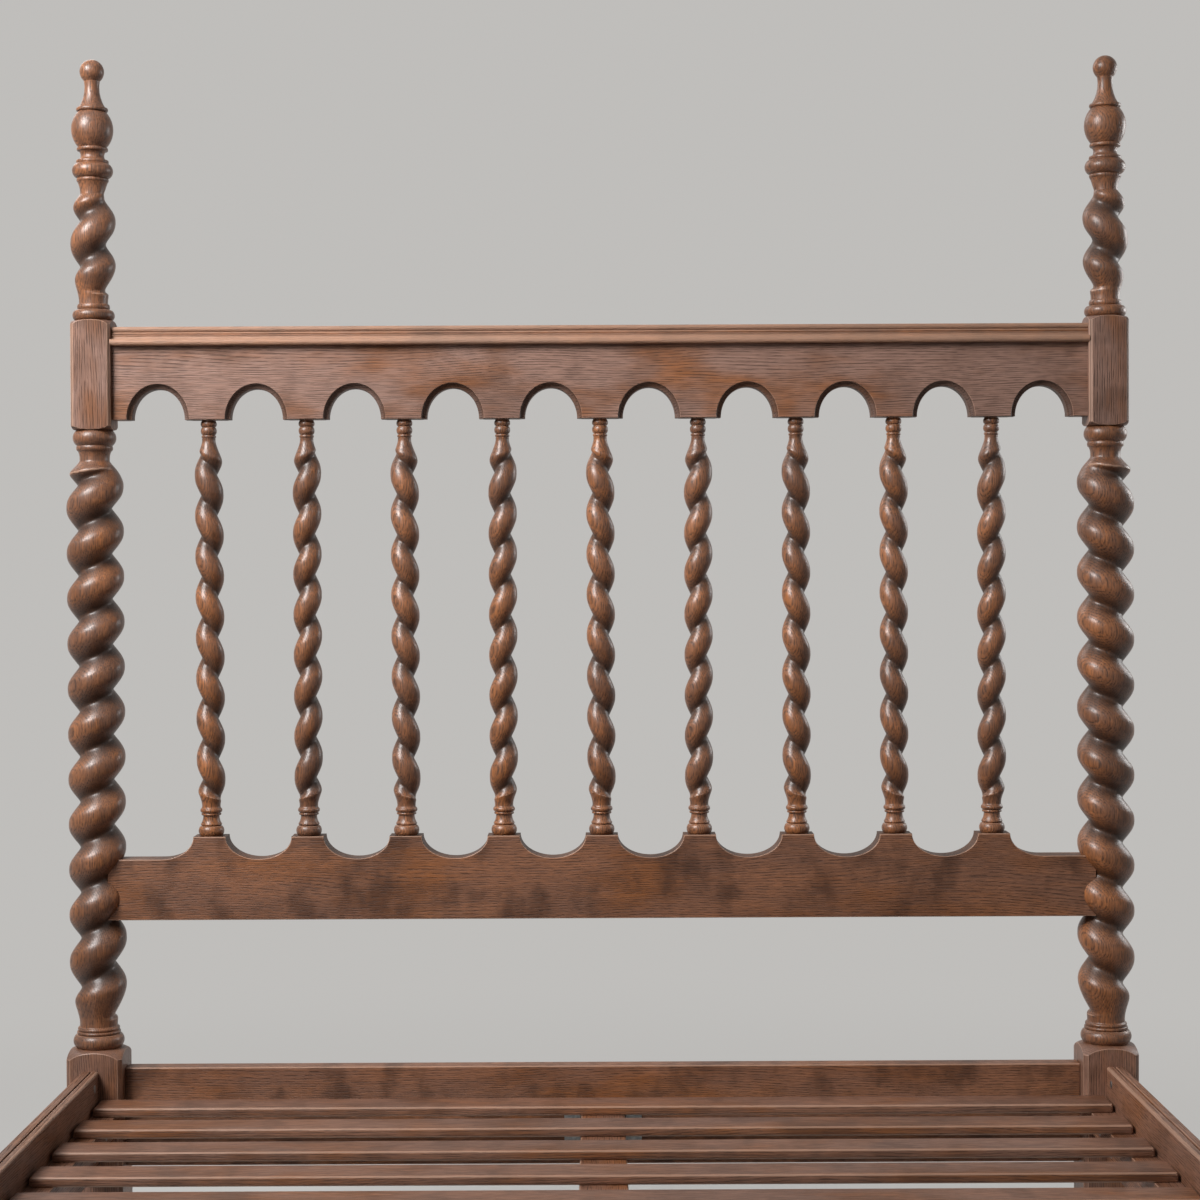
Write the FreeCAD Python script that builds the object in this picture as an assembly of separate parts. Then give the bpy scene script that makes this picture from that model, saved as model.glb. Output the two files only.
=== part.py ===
"""Four-poster bed with barley-twist posts and spindles, in millimetres.

X runs across the bed, Y from foot to head, Z up. The origin is on the floor under the middle of the bed.
"""
import FreeCAD, Part
import math
import os

V = FreeCAD.Vector
SAME_POINT = 0.001

# Mattress and the room left around it
MATTRESS_WIDTH = 1500.0
MATTRESS_LENGTH = 2000.0
MATTRESS_SIDE_GAP = 10.0
MATTRESS_END_GAP = 10.0

# Clearances of the joints
TENON_CLEARANCE = 0.2
ROUND_CLEARANCE = 0.15
THREAD_CLEARANCE = 0.1
SOCKET_END_GAP = 1.0
SLAT_END_GAP = 4.0
LEDGER_END_GAP = 2.0
SLAT_POST_GAP = 3.5

# Leg block of a post
LEG_WIDTH = 84.0
LEG_HEIGHT = 420.0
LEG_CHAMFER = 6.0
LEG_SHOULDER_DROP = 18.0
LEG_FOOT_CHAMFER = 3.0

# Turned foot of the main twist, from the leg block up
BASE_TORUS_HEIGHT = 22.0
BASE_TORUS_RADIUS = 39.0
BASE_TORUS_BULGE = 5.0
BASE_QUIRK_HEIGHT = 3.0
BASE_QUIRK_RADIUS = 30.0
BASE_RING_HEIGHT = 17.0
BASE_RING_RADIUS = 32.0
BASE_RING_BULGE = 1.6

# Main twist of a post
MAIN_TWIST_LENGTH = 872.0
MAIN_TWIST_TURNS = 12.71
MAIN_TWIST_CREST = 41.5
MAIN_TWIST_GROOVE = 24.5
MAIN_TWIST_LEAD = 25.0
MAIN_TWIST_LOW_NECK = 29.0
MAIN_TWIST_HIGH_NECK = 25.0
MAIN_TWIST_LOW_EASE = 36.0
MAIN_TWIST_HIGH_EASE = 34.0
MAIN_TWIST_NECK_LENGTH = 10.0

# Collar at the top of the main twist
COLLAR_RING_HEIGHT = 8.0
COLLAR_RING_RADIUS = 27.5
COLLAR_RING_BULGE = 1.2
COLLAR_TORUS_HEIGHT = 23.0
COLLAR_TORUS_RADIUS = 32.5
COLLAR_TORUS_BULGE = 5.5

# Upper block of a post
UPPER_BLOCK_WIDTH = 66.0
UPPER_BLOCK_HEIGHT = 166.0
UPPER_BLOCK_CHAMFER = 5.0
UPPER_BLOCK_LOW_DROP = 7.0
UPPER_BLOCK_HIGH_DROP = 10.0
POST_TENON_RADIUS = 14.0
POST_TENON_LENGTH = 60.0

# Short twist above the upper block
CROWN_TORUS_HEIGHT = 16.0
CROWN_TORUS_RADIUS = 31.5
CROWN_TORUS_BULGE = 4.0
CROWN_RING_HEIGHT = 9.0
CROWN_RING_RADIUS = 24.5
CROWN_RING_BULGE = 1.5
CROWN_TWIST_LENGTH = 185.0
CROWN_TWIST_TURNS = 2.96
CROWN_TWIST_CREST = 34.0
CROWN_TWIST_GROOVE = 20.0
CROWN_TWIST_LEAD = 22.0
CROWN_TWIST_LOW_NECK = 21.5
CROWN_TWIST_HIGH_NECK = 17.5
CROWN_TWIST_LOW_EASE = 46.0
CROWN_TWIST_HIGH_EASE = 44.0
CROWN_TWIST_NECK_LENGTH = 14.0
CROWN_FLARE_LENGTH = 18.0
CROWN_FLARE_RADIUS = 5.0

# Finial, from the ring below its torus up
FINIAL_TENON_RADIUS = 8.0
FINIAL_TENON_LENGTH = 40.0
FINIAL_RING_HEIGHT = 6.0
FINIAL_RING_RADIUS = 24.0
FINIAL_RING_BULGE = 1.2
FINIAL_TORUS_HEIGHT = 22.0
FINIAL_TORUS_RADIUS = 30.5
FINIAL_TORUS_BULGE = 6.5
FINIAL_BAND_HEIGHT = 5.0
FINIAL_BAND_RADIUS = 23.5
FINIAL_COVE_HEIGHT = 14.0
FINIAL_COVE_DEPTH = 3.0
FINIAL_COVE_RADIUS = 20.5
FINIAL_LIP_HEIGHT = 5.0
FINIAL_LIP_RADIUS = 22.5
FINIAL_VASE_HEIGHT = 55.0
FINIAL_VASE_RADIUS = 31.4
FINIAL_VASE_BULGE = 11.0
FINIAL_NECKLACE_HEIGHT = 5.0
FINIAL_NECKLACE_RADIUS = 23.0
FINIAL_NECK_HEIGHT = 41.0
FINIAL_NECK_RADIUS = 11.7
FINIAL_NECK_DEPTH = 4.0
FINIAL_BALL_RADIUS = 18.3

# Arcaded top rail and its cap
TOP_RAIL_LIFT = 15.0
TOP_RAIL_HEIGHT = 111.0
TOP_RAIL_THICKNESS = 36.0
TOP_RAIL_TENON_LENGTH = 24.0
TOP_RAIL_TENON_THICKNESS = 14.0
TOP_RAIL_TENON_SHOULDER = 16.0
ARCH_COUNT = 10
ARCH_WIDTH = 94.5
ARCH_HEIGHT = 54.0
ARCH_CHAMFER = 5.0
ARCH_END_LAND = 19.0
CAP_BEAD_HEIGHT = 10.0
CAP_BEAD_OVERHANG = 8.0
CAP_BEAD_BULGE = 3.6
CAP_COVE_HEIGHT = 6.0
CAP_COVE_DEPTH = 1.6
CAP_COVE_OVERHANG = 4.0
CAP_FILLET_HEIGHT = 3.5
CAP_FILLET_OVERHANG = 2.5
CAP_QUIRK_HEIGHT = 1.5
CAP_QUIRK_OVERHANG = 0.5
CAP_TOP_BEAD_HEIGHT = 8.0
CAP_TOP_BEAD_BULGE = 2.4

# Scalloped lower rail
LOWER_RAIL_LIFT = 202.0
LOWER_RAIL_HEIGHT = 126.0
LOWER_RAIL_THICKNESS = 42.0
LOWER_RAIL_HOUSING = 22.0
SCALLOP_DEPTH = 34.0
PAD_WIDTH = 49.0

# Spindles, from the pad up; +1 climbs to the right seen from the foot end
SPINDLE_HANDS = (-1, 1, -1, 1, -1, 1, -1, -1, 1)
SPINDLE_LOW_TENON_RADIUS = 9.0
SPINDLE_HIGH_TENON_RADIUS = 7.0
SPINDLE_TENON_LENGTH = 18.0
SPINDLE_TORUS_HEIGHT = 18.0
SPINDLE_TORUS_RADIUS = 19.7
SPINDLE_TORUS_BULGE = 3.2
SPINDLE_QUIRK_HEIGHT = 1.5
SPINDLE_QUIRK_RADIUS = 14.5
SPINDLE_LOW_RING_HEIGHT = 7.0
SPINDLE_LOW_RING_RADIUS = 16.0
SPINDLE_LOW_RING_BULGE = 1.5
SPINDLE_COVE_HEIGHT = 9.0
SPINDLE_COVE_RADIUS = 14.0
SPINDLE_COVE_DEPTH = 1.6
SPINDLE_MID_RING_HEIGHT = 4.5
SPINDLE_MID_RING_RADIUS = 15.0
SPINDLE_BOTTOM_RING_HEIGHT = 9.0
SPINDLE_BOTTOM_RING_RADIUS = 16.5
SPINDLE_BOTTOM_RING_BULGE = 1.5
SPINDLE_TWIST_TURNS = 8.75
SPINDLE_TWIST_CREST = 21.0
SPINDLE_TWIST_GROOVE = 12.2
SPINDLE_TWIST_LEAD = 57.0
SPINDLE_TWIST_LOW_NECK = 14.5
SPINDLE_TWIST_HIGH_NECK = 10.2
SPINDLE_TWIST_LOW_EASE = 30.0
SPINDLE_TWIST_HIGH_EASE = 38.0
SPINDLE_TWIST_NECK_LENGTH = 5.0
SPINDLE_TOP_RING_HEIGHT = 6.0
SPINDLE_TOP_RING_RADIUS = 11.4
SPINDLE_TOP_RING_BULGE = 0.9
SPINDLE_TOP_TORUS_HEIGHT = 12.0
SPINDLE_TOP_TORUS_RADIUS = 12.5
SPINDLE_TOP_TORUS_BULGE = 1.8
SPINDLE_TOP_BEAD_HEIGHT = 11.0
SPINDLE_TOP_BEAD_RADIUS = 12.8
SPINDLE_TOP_BEAD_BULGE = 1.6

# Shape of every twist: how far its groove is sharpened and how finely its surface is divided
TWIST_SHARPENING = 0.13
TWIST_COLUMNS = 12
TWIST_ROWS_PER_TURN = 10

# Rails of the bed frame
RAIL_DROP = 23.0
RAIL_HEIGHT = 150.0
SIDE_RAIL_THICKNESS = 25.0
SIDE_RAIL_INSET = 8.0
SIDE_RAIL_BEAD_WIDTH = 9.5
SIDE_RAIL_BEAD_RADIUS = 4.0
SIDE_RAIL_QUIRK_WIDTH = 2.4
SIDE_RAIL_QUIRK_DEPTH = 2.4
END_RAIL_THICKNESS = 30.0
END_RAIL_EASING = 3.0
END_RAIL_TENON_LENGTH = 34.0
END_RAIL_TENON_THICKNESS = 12.0
END_RAIL_TENON_SHOULDER = 20.0

# Slats and what carries them
DECK_DROP = 41.0
SLAT_COUNT = 16
SLAT_WIDTH = 61.0
SLAT_THICKNESS = 14.0
SLAT_EASING = 3.0
LEDGER_WIDTH = 36.0
LEDGER_HEIGHT = 30.0
BEAM_WIDTH = 65.0
BEAM_HEIGHT = 70.0
BRACKET_THICKNESS = 2.0
BRACKET_SEAT_LENGTH = 40.0
BRACKET_CHEEK_HEIGHT = 50.0
BRACKET_FLANGE_WIDTH = 24.0
CENTRE_LEG_WIDTH = 50.0
CENTRE_LEG_SPACING = 690.0
CENTRE_LEG_CHAMFER = 4.0
CENTRE_LEG_TENON_RADIUS = 12.5
CENTRE_LEG_TENON_LENGTH = 30.0

# Levelling feet under the centre legs
FOOT_PAD_RADIUS = 20.0
FOOT_PAD_HEIGHT = 8.0
FOOT_PAD_EASING = 2.0
FOOT_STUD_RADIUS = 5.0
FOOT_STUD_LENGTH = 42.0
FOOT_TRAVEL = 10.0
FOOT_LEG_GAP = 12.0
INSERT_RADIUS = 8.0
INSERT_LENGTH = 25.0

# Bed bolts, one above the other at each end of a side rail
BOLT_RADIUS = 4.0
BOLT_HEAD_RADIUS = 7.0
BOLT_HEAD_HEIGHT = 7.0
BOLT_PASSING_NUT = 4.0
BOLT_COUNTERBORE_RADIUS = 9.0
BOLT_COUNTERBORE_DEPTH = 14.0
BOLT_TOP_EDGE = 20.0
BOLT_BOTTOM_EDGE = 25.0
COVER_HEIGHT = 5.0
COVER_DOME = 1.5
COVER_RECESS = 0.5
NUT_RADIUS = 6.0
NUT_LENGTH = 18.0
NUT_SETBACK = 30.0

# Countersunk wood screws
SCREW_RADIUS = 2.5
SCREW_HEAD_RADIUS = 5.0
SCREW_HEAD_HEIGHT = 3.0
LEDGER_SCREW_COUNT = 6
LEDGER_SCREW_END = 120.0
LEDGER_SCREW_BITE = 14.0
BRACKET_SCREW_LENGTH = 22.0
BRACKET_SCREW_EDGE = 12.0

# Places worked out from the sizes above
INSIDE_WIDTH = MATTRESS_WIDTH + 2 * MATTRESS_SIDE_GAP
INSIDE_LENGTH = MATTRESS_LENGTH + 2 * MATTRESS_END_GAP
POST_X = INSIDE_WIDTH / 2 + SIDE_RAIL_INSET
POST_Y = INSIDE_LENGTH / 2 + LEG_WIDTH / 2
MAIN_TWIST_BOTTOM = LEG_HEIGHT + BASE_TORUS_HEIGHT + BASE_QUIRK_HEIGHT + BASE_RING_HEIGHT
MAIN_TWIST_TOP = MAIN_TWIST_BOTTOM + MAIN_TWIST_LENGTH
UPPER_BLOCK_BOTTOM = MAIN_TWIST_TOP + COLLAR_RING_HEIGHT + COLLAR_TORUS_HEIGHT
UPPER_BLOCK_TOP = UPPER_BLOCK_BOTTOM + UPPER_BLOCK_HEIGHT
CROWN_TWIST_BOTTOM = UPPER_BLOCK_TOP + CROWN_TORUS_HEIGHT + CROWN_RING_HEIGHT
CROWN_TWIST_TOP = CROWN_TWIST_BOTTOM + CROWN_TWIST_LENGTH

BLOCK_FACE_X = POST_X - UPPER_BLOCK_WIDTH / 2
LEG_FACE_X = POST_X - LEG_WIDTH / 2
LEG_FACE_Y = POST_Y - LEG_WIDTH / 2
TOP_RAIL_BOTTOM = UPPER_BLOCK_BOTTOM + TOP_RAIL_LIFT
TOP_RAIL_TOP = TOP_RAIL_BOTTOM + TOP_RAIL_HEIGHT
LOWER_RAIL_BOTTOM = LEG_HEIGHT + LOWER_RAIL_LIFT
PAD_TOP = LOWER_RAIL_BOTTOM + LOWER_RAIL_HEIGHT
LOWER_RAIL_END_X = POST_X - MAIN_TWIST_CREST + LOWER_RAIL_HOUSING
FIRST_ARCH_X = -(BLOCK_FACE_X - ARCH_END_LAND - ARCH_WIDTH / 2)
ARCH_PITCH = -2 * FIRST_ARCH_X / (ARCH_COUNT - 1)
ARCH_XS = [FIRST_ARCH_X + i * ARCH_PITCH for i in range(ARCH_COUNT)]
SPINDLE_XS = [x + ARCH_PITCH / 2 for x in ARCH_XS[:-1]]
SPINDLE_FOOT_HEIGHT = (
    SPINDLE_TORUS_HEIGHT + SPINDLE_LOW_RING_HEIGHT + SPINDLE_COVE_HEIGHT + SPINDLE_MID_RING_HEIGHT
    + SPINDLE_BOTTOM_RING_HEIGHT + 2 * SPINDLE_QUIRK_HEIGHT
)
SPINDLE_HEAD_HEIGHT = SPINDLE_TOP_RING_HEIGHT + SPINDLE_TOP_TORUS_HEIGHT + SPINDLE_TOP_BEAD_HEIGHT
SPINDLE_TWIST_BOTTOM = PAD_TOP + SPINDLE_FOOT_HEIGHT
SPINDLE_TWIST_TOP = TOP_RAIL_BOTTOM - SPINDLE_HEAD_HEIGHT

RAIL_TOP = LEG_HEIGHT - RAIL_DROP
RAIL_BOTTOM = RAIL_TOP - RAIL_HEIGHT
RAIL_INNER_X = INSIDE_WIDTH / 2
RAIL_MIDDLE_X = RAIL_INNER_X + SIDE_RAIL_THICKNESS / 2
END_RAIL_FACE_Y = POST_Y - END_RAIL_THICKNESS / 2
SLAT_BOTTOM = RAIL_TOP - DECK_DROP - SLAT_THICKNESS
SLAT_HALF_LENGTH = RAIL_INNER_X - SLAT_END_GAP
LAST_SLAT_Y = LEG_FACE_Y - SLAT_POST_GAP - SLAT_WIDTH / 2
SLAT_PITCH = 2 * LAST_SLAT_Y / (SLAT_COUNT - 1)
BEAM_BOTTOM = SLAT_BOTTOM - BEAM_HEIGHT
BEAM_HALF_LENGTH = END_RAIL_FACE_Y - BRACKET_THICKNESS
BRACKET_HALF_WIDTH = BEAM_WIDTH / 2 + TENON_CLEARANCE + BRACKET_THICKNESS
CENTRE_LEG_BOTTOM = FOOT_PAD_HEIGHT + FOOT_LEG_GAP
BOLT_ZS = (RAIL_TOP - BOLT_TOP_EDGE, RAIL_BOTTOM + BOLT_BOTTOM_EDGE)
NUT_Y = LEG_FACE_Y - NUT_SETBACK
BOLT_HEAD_Y = POST_Y + LEG_WIDTH / 2 - BOLT_COUNTERBORE_DEPTH
SCREW_HOLE_RADIUS = SCREW_RADIUS + ROUND_CLEARANCE

CORNERS = {
    "head_left": (-1, 1),
    "head_right": (1, 1),
    "foot_left": (-1, -1),
    "foot_right": (1, -1),
}


def block(x_low, x_high, y_low, y_high, z_low, z_high):
    """A box between two corners."""
    return Part.makeBox(x_high - x_low, y_high - y_low, z_high - z_low, V(x_low, y_low, z_low))


def contour(start, steps):
    """Edges of an outline in (across, up), from start through steps of (rise, across, bulge).

    A bulge of 0 is a straight line, above 0 a bead and below 0 a cove of that depth.
    """
    edges = []
    across, up = start
    for rise, new_across, bulge in steps:
        a = V(across, 0, up)
        b = V(new_across, 0, up + rise)
        if a.isEqual(b, SAME_POINT):
            continue
        if bulge:
            run = b - a
            outward = V(run.z, 0, -run.x).normalize()
            edges.append(Part.Arc(a, (a + b) / 2 + outward * bulge, b).toShape())
        else:
            edges.append(Part.LineSegment(a, b).toShape())
        across, up = new_across, up + rise
    return edges, V(across, 0, up)


def turned(bottom, radius, steps):
    """A solid of revolution about Z with the given profile."""
    edges, end = contour((radius, bottom), steps)
    start = V(radius, 0, bottom)
    low = V(0, 0, bottom)
    high = V(0, 0, end.z)
    closing = ((low, start), (end, high), (high, low))
    lines = [(a, b) for a, b in closing if not a.isEqual(b, SAME_POINT)]
    wire = Part.Wire(Part.__sortEdges__(edges + [Part.LineSegment(a, b).toShape() for a, b in lines]))
    return Part.Face(wire).revolve(V(0, 0, 0), V(0, 0, 1), 360)


def arc_bulge(radius, chord):
    """Height of a circle's arc over its chord."""
    return radius - math.sqrt(radius ** 2 - chord ** 2 / 4)


def ease(share):
    """A smooth step from 0 to 1."""
    share = max(0.0, min(1.0, share))
    return share * share * (3 - 2 * share)


def even_spline_places(count, degree):
    """Shares along a clamped even spline at which its poles stand."""
    spans = count - degree
    knots = [0.0] * degree + [float(i) for i in range(spans + 1)] + [float(spans)] * degree
    return [sum(knots[i + 1:i + degree + 1]) / degree / spans for i in range(count)]


def spline_shrink(count):
    """How much smaller a round cubic spline is than its ring of poles."""
    return (2 + math.cos(2 * math.pi / count)) / 3


def twist(bottom, length, turns, crest, groove, lead, low_neck, high_neck, low_ease, high_ease,
          neck_length, flare_length=0.0, flare_radius=0.0):
    """A right-handed barley twist about Z that eases into a round neck at each end."""
    degree = 3
    rows = math.ceil(turns * TWIST_ROWS_PER_TURN) + degree
    swing = (crest - groove) / 2
    around = spline_shrink(TWIST_COLUMNS)
    along = spline_shrink(TWIST_ROWS_PER_TURN)
    poles = [[] for _ in range(TWIST_COLUMNS)]
    for share in even_spline_places(rows, degree):
        up = share * length
        low = ease(up / low_ease)
        high = ease((length - up - neck_length) / high_ease)
        outer = crest - (crest - low_neck) * (1 - low) - (crest - high_neck) * (1 - high)
        if flare_length:
            outer += flare_radius * max(0.0, 1 - (length - up) / flare_length) ** 2
        offset = swing * low * high
        sharp = TWIST_SHARPENING * offset
        turn = math.radians(lead) + 2 * math.pi * turns * share
        for column, line in enumerate(poles):
            angle = 2 * math.pi * column / TWIST_COLUMNS
            radius = (outer - offset + sharp) / around - sharp * math.cos(2 * (angle - turn))
            line.append(V(
                radius * math.cos(angle) + offset / along * math.cos(turn),
                radius * math.sin(angle) + offset / along * math.sin(turn),
                bottom + up,
            ))
    spans = rows - degree
    surface = Part.BSplineSurface()
    surface.buildFromPolesMultsKnots(
        poles,
        [1] * (TWIST_COLUMNS + 1), [degree + 1] + [1] * (spans - 1) + [degree + 1],
        [float(i) for i in range(TWIST_COLUMNS + 1)], [float(i) for i in range(spans + 1)],
        True, False, degree, degree,
    )
    side = surface.toShape()
    faces = [side]
    for edge in side.Edges:
        if edge.BoundBox.ZLength < SAME_POINT:
            cap = Part.Face(Part.Wire([edge]))
            is_top = edge.BoundBox.ZMax > bottom + length / 2
            if (cap.normalAt(0, 0).z > 0) != is_top:
                cap.reverse()
            faces.append(cap)
    return Part.makeSolid(Part.makeShell(faces))


def square_blank(width, chamfer, bottom, top):
    """A square post with chamfered upright corners."""
    half = width / 2
    flat = half - chamfer
    corners = [(half, flat), (flat, half), (-flat, half), (-half, flat),
               (-half, -flat), (-flat, -half), (flat, -half), (half, -flat)]
    points = [V(x, y, bottom) for x, y in corners]
    return Part.Face(Part.makePolygon(points + points[:1])).extrude(V(0, 0, top - bottom))


def rounded_bar(width, height, easing):
    """Outline in Y and Z of a bar with rounded edges, centred in Y, standing on Z = 0."""
    half = width / 2
    bend = easing * (1 - math.sqrt(0.5))
    corners = [(half, 0, 1, 1), (half, height, 1, -1), (-half, height, -1, -1), (-half, 0, -1, 1)]
    edges = []
    ends = []
    for y, z, across, up in corners:
        side = V(0, y, z + up * easing)
        middle = V(0, y - across * bend, z + up * bend)
        flat = V(0, y - across * easing, z)
        arc = (flat, middle, side) if across * up > 0 else (side, middle, flat)
        edges.append(Part.Arc(*arc).toShape())
        ends.append((arc[0], arc[2]))
    for i, (_, last) in enumerate(ends):
        edges.append(Part.LineSegment(last, ends[(i + 1) % len(ends)][0]).toShape())
    return Part.Face(Part.Wire(Part.__sortEdges__(edges)))


def cylinder(radius, length, base, axis):
    return Part.makeCylinder(radius, length, base, axis)


def in_hand(shape, hand):
    """The right-handed shape, or its mirror image across X."""
    return shape.copy() if hand > 0 else shape.mirror(V(0, 0, 0), V(1, 0, 0))


def placed(shape, x, y):
    moved = shape.copy()
    moved.translate(V(x, y, 0))
    return moved


def solid_of(shape):
    """The one solid of a boolean result, with its split faces joined."""
    joined = shape.removeSplitter()
    if len(joined.Solids) != 1:
        raise ValueError("a piece came out as %d solids" % len(joined.Solids))
    return joined.Solids[0]


def lower_post():
    """Leg block, turned foot, main twist and collar, with the socket for the upper post."""
    corner = (LEG_WIDTH / 2 - LEG_CHAMFER / 2) * math.sqrt(2)
    torus_edge = BASE_TORUS_RADIUS - BASE_TORUS_BULGE
    foot = LEG_FOOT_CHAMFER
    shoulder = turned(0, corner - foot, [
        (foot, corner, 0),
        (LEG_HEIGHT - LEG_SHOULDER_DROP - foot, corner, 0),
        (LEG_SHOULDER_DROP, torus_edge, LEG_SHOULDER_DROP / 4),
    ])
    leg = square_blank(LEG_WIDTH, LEG_CHAMFER, 0, LEG_HEIGHT).common(shoulder)
    ring_edge = BASE_RING_RADIUS - BASE_RING_BULGE
    base = turned(LEG_HEIGHT, torus_edge, [
        (BASE_TORUS_HEIGHT, torus_edge, BASE_TORUS_BULGE),
        (0, BASE_QUIRK_RADIUS, 0),
        (BASE_QUIRK_HEIGHT, BASE_QUIRK_RADIUS, 0),
        (0, ring_edge, 0),
        (BASE_RING_HEIGHT, ring_edge, BASE_RING_BULGE),
    ])
    shaft = twist(
        MAIN_TWIST_BOTTOM, MAIN_TWIST_LENGTH, MAIN_TWIST_TURNS, MAIN_TWIST_CREST, MAIN_TWIST_GROOVE,
        MAIN_TWIST_LEAD, MAIN_TWIST_LOW_NECK, MAIN_TWIST_HIGH_NECK, MAIN_TWIST_LOW_EASE,
        MAIN_TWIST_HIGH_EASE, MAIN_TWIST_NECK_LENGTH,
    )
    collar_edge = COLLAR_TORUS_RADIUS - COLLAR_TORUS_BULGE
    collar_ring_edge = COLLAR_RING_RADIUS - COLLAR_RING_BULGE
    collar = turned(MAIN_TWIST_TOP, collar_ring_edge, [
        (COLLAR_RING_HEIGHT, collar_ring_edge, COLLAR_RING_BULGE),
        (0, collar_edge, 0),
        (COLLAR_TORUS_HEIGHT, collar_edge, COLLAR_TORUS_BULGE),
    ])
    socket = cylinder(
        POST_TENON_RADIUS + ROUND_CLEARANCE, POST_TENON_LENGTH + SOCKET_END_GAP,
        V(0, 0, UPPER_BLOCK_BOTTOM), V(0, 0, -1),
    )
    return solid_of(leg.fuse([base, shaft, collar]).cut(socket))


def upper_post():
    """Upper block on its tenon, the short twist above it and the socket for the finial."""
    corner = (UPPER_BLOCK_WIDTH / 2 - UPPER_BLOCK_CHAMFER / 2) * math.sqrt(2)
    low_edge = COLLAR_TORUS_RADIUS - COLLAR_TORUS_BULGE
    high_edge = CROWN_TORUS_RADIUS - CROWN_TORUS_BULGE
    straight = UPPER_BLOCK_HEIGHT - UPPER_BLOCK_LOW_DROP - UPPER_BLOCK_HIGH_DROP
    shoulders = turned(UPPER_BLOCK_BOTTOM, low_edge, [
        (UPPER_BLOCK_LOW_DROP, corner, UPPER_BLOCK_LOW_DROP / 4),
        (straight, corner, 0),
        (UPPER_BLOCK_HIGH_DROP, high_edge, UPPER_BLOCK_HIGH_DROP / 4),
    ])
    blank = square_blank(UPPER_BLOCK_WIDTH, UPPER_BLOCK_CHAMFER, UPPER_BLOCK_BOTTOM, UPPER_BLOCK_TOP)
    ring_edge = CROWN_RING_RADIUS - CROWN_RING_BULGE
    base = turned(UPPER_BLOCK_TOP, high_edge, [
        (CROWN_TORUS_HEIGHT, high_edge, CROWN_TORUS_BULGE),
        (0, ring_edge, 0),
        (CROWN_RING_HEIGHT, ring_edge, CROWN_RING_BULGE),
    ])
    shaft = twist(
        CROWN_TWIST_BOTTOM, CROWN_TWIST_LENGTH, CROWN_TWIST_TURNS, CROWN_TWIST_CREST, CROWN_TWIST_GROOVE,
        CROWN_TWIST_LEAD, CROWN_TWIST_LOW_NECK, CROWN_TWIST_HIGH_NECK, CROWN_TWIST_LOW_EASE,
        CROWN_TWIST_HIGH_EASE, CROWN_TWIST_NECK_LENGTH, CROWN_FLARE_LENGTH, CROWN_FLARE_RADIUS,
    )
    tenon = cylinder(POST_TENON_RADIUS, POST_TENON_LENGTH, V(0, 0, UPPER_BLOCK_BOTTOM), V(0, 0, -1))
    socket = cylinder(
        FINIAL_TENON_RADIUS + ROUND_CLEARANCE, FINIAL_TENON_LENGTH + SOCKET_END_GAP,
        V(0, 0, CROWN_TWIST_TOP), V(0, 0, -1),
    )
    return solid_of(blank.common(shoulders).fuse([base, shaft, tenon]).cut(socket))


def finial():
    """Turned top of a post: ring, torus, cove, vase, neck and ball, on a round tenon."""
    ring_edge = FINIAL_RING_RADIUS - FINIAL_RING_BULGE
    torus_edge = FINIAL_TORUS_RADIUS - FINIAL_TORUS_BULGE
    vase_edge = FINIAL_VASE_RADIUS - FINIAL_VASE_BULGE
    ball = FINIAL_BALL_RADIUS
    ball_seat = math.sqrt(ball ** 2 - FINIAL_NECK_RADIUS ** 2)
    ball_side = math.hypot(ball_seat, ball - FINIAL_NECK_RADIUS)
    body = turned(CROWN_TWIST_TOP, ring_edge, [
        (FINIAL_RING_HEIGHT, ring_edge, FINIAL_RING_BULGE),
        (0, torus_edge, 0),
        (FINIAL_TORUS_HEIGHT, torus_edge, FINIAL_TORUS_BULGE),
        (0, FINIAL_BAND_RADIUS, 0),
        (FINIAL_BAND_HEIGHT, FINIAL_BAND_RADIUS, 0),
        (0, FINIAL_COVE_RADIUS, 0),
        (FINIAL_COVE_HEIGHT, FINIAL_COVE_RADIUS, -FINIAL_COVE_DEPTH),
        (0, FINIAL_LIP_RADIUS, 0),
        (FINIAL_LIP_HEIGHT, FINIAL_LIP_RADIUS, 0),
        (0, vase_edge, 0),
        (FINIAL_VASE_HEIGHT, vase_edge, FINIAL_VASE_BULGE),
        (0, FINIAL_NECKLACE_RADIUS, 0),
        (FINIAL_NECKLACE_HEIGHT, FINIAL_NECKLACE_RADIUS, 0),
        (0, vase_edge, 0),
        (FINIAL_NECK_HEIGHT, FINIAL_NECK_RADIUS, -FINIAL_NECK_DEPTH),
        (ball_seat, ball, arc_bulge(ball, ball_side)),
        (ball, 0, arc_bulge(ball, ball * math.sqrt(2))),
    ])
    tenon = cylinder(FINIAL_TENON_RADIUS, FINIAL_TENON_LENGTH, V(0, 0, CROWN_TWIST_TOP), V(0, 0, -1))
    return solid_of(body.fuse(tenon))


def arch_wire(half_width, height, x, y):
    """Half ellipse standing on the underside of the top rail, closed across its foot."""
    count = 12
    points = []
    for i in range(count + 1):
        angle = math.pi * i / count
        points.append(V(x + half_width * math.cos(angle), y, TOP_RAIL_BOTTOM + height * math.sin(angle)))
    curve = Part.BSplineCurve()
    curve.interpolate(Points=points, InitialTangent=V(0, 0, 1), FinalTangent=V(0, 0, -1))
    return Part.Wire([curve.toShape(), Part.LineSegment(points[-1], points[0]).toShape()])


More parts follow.
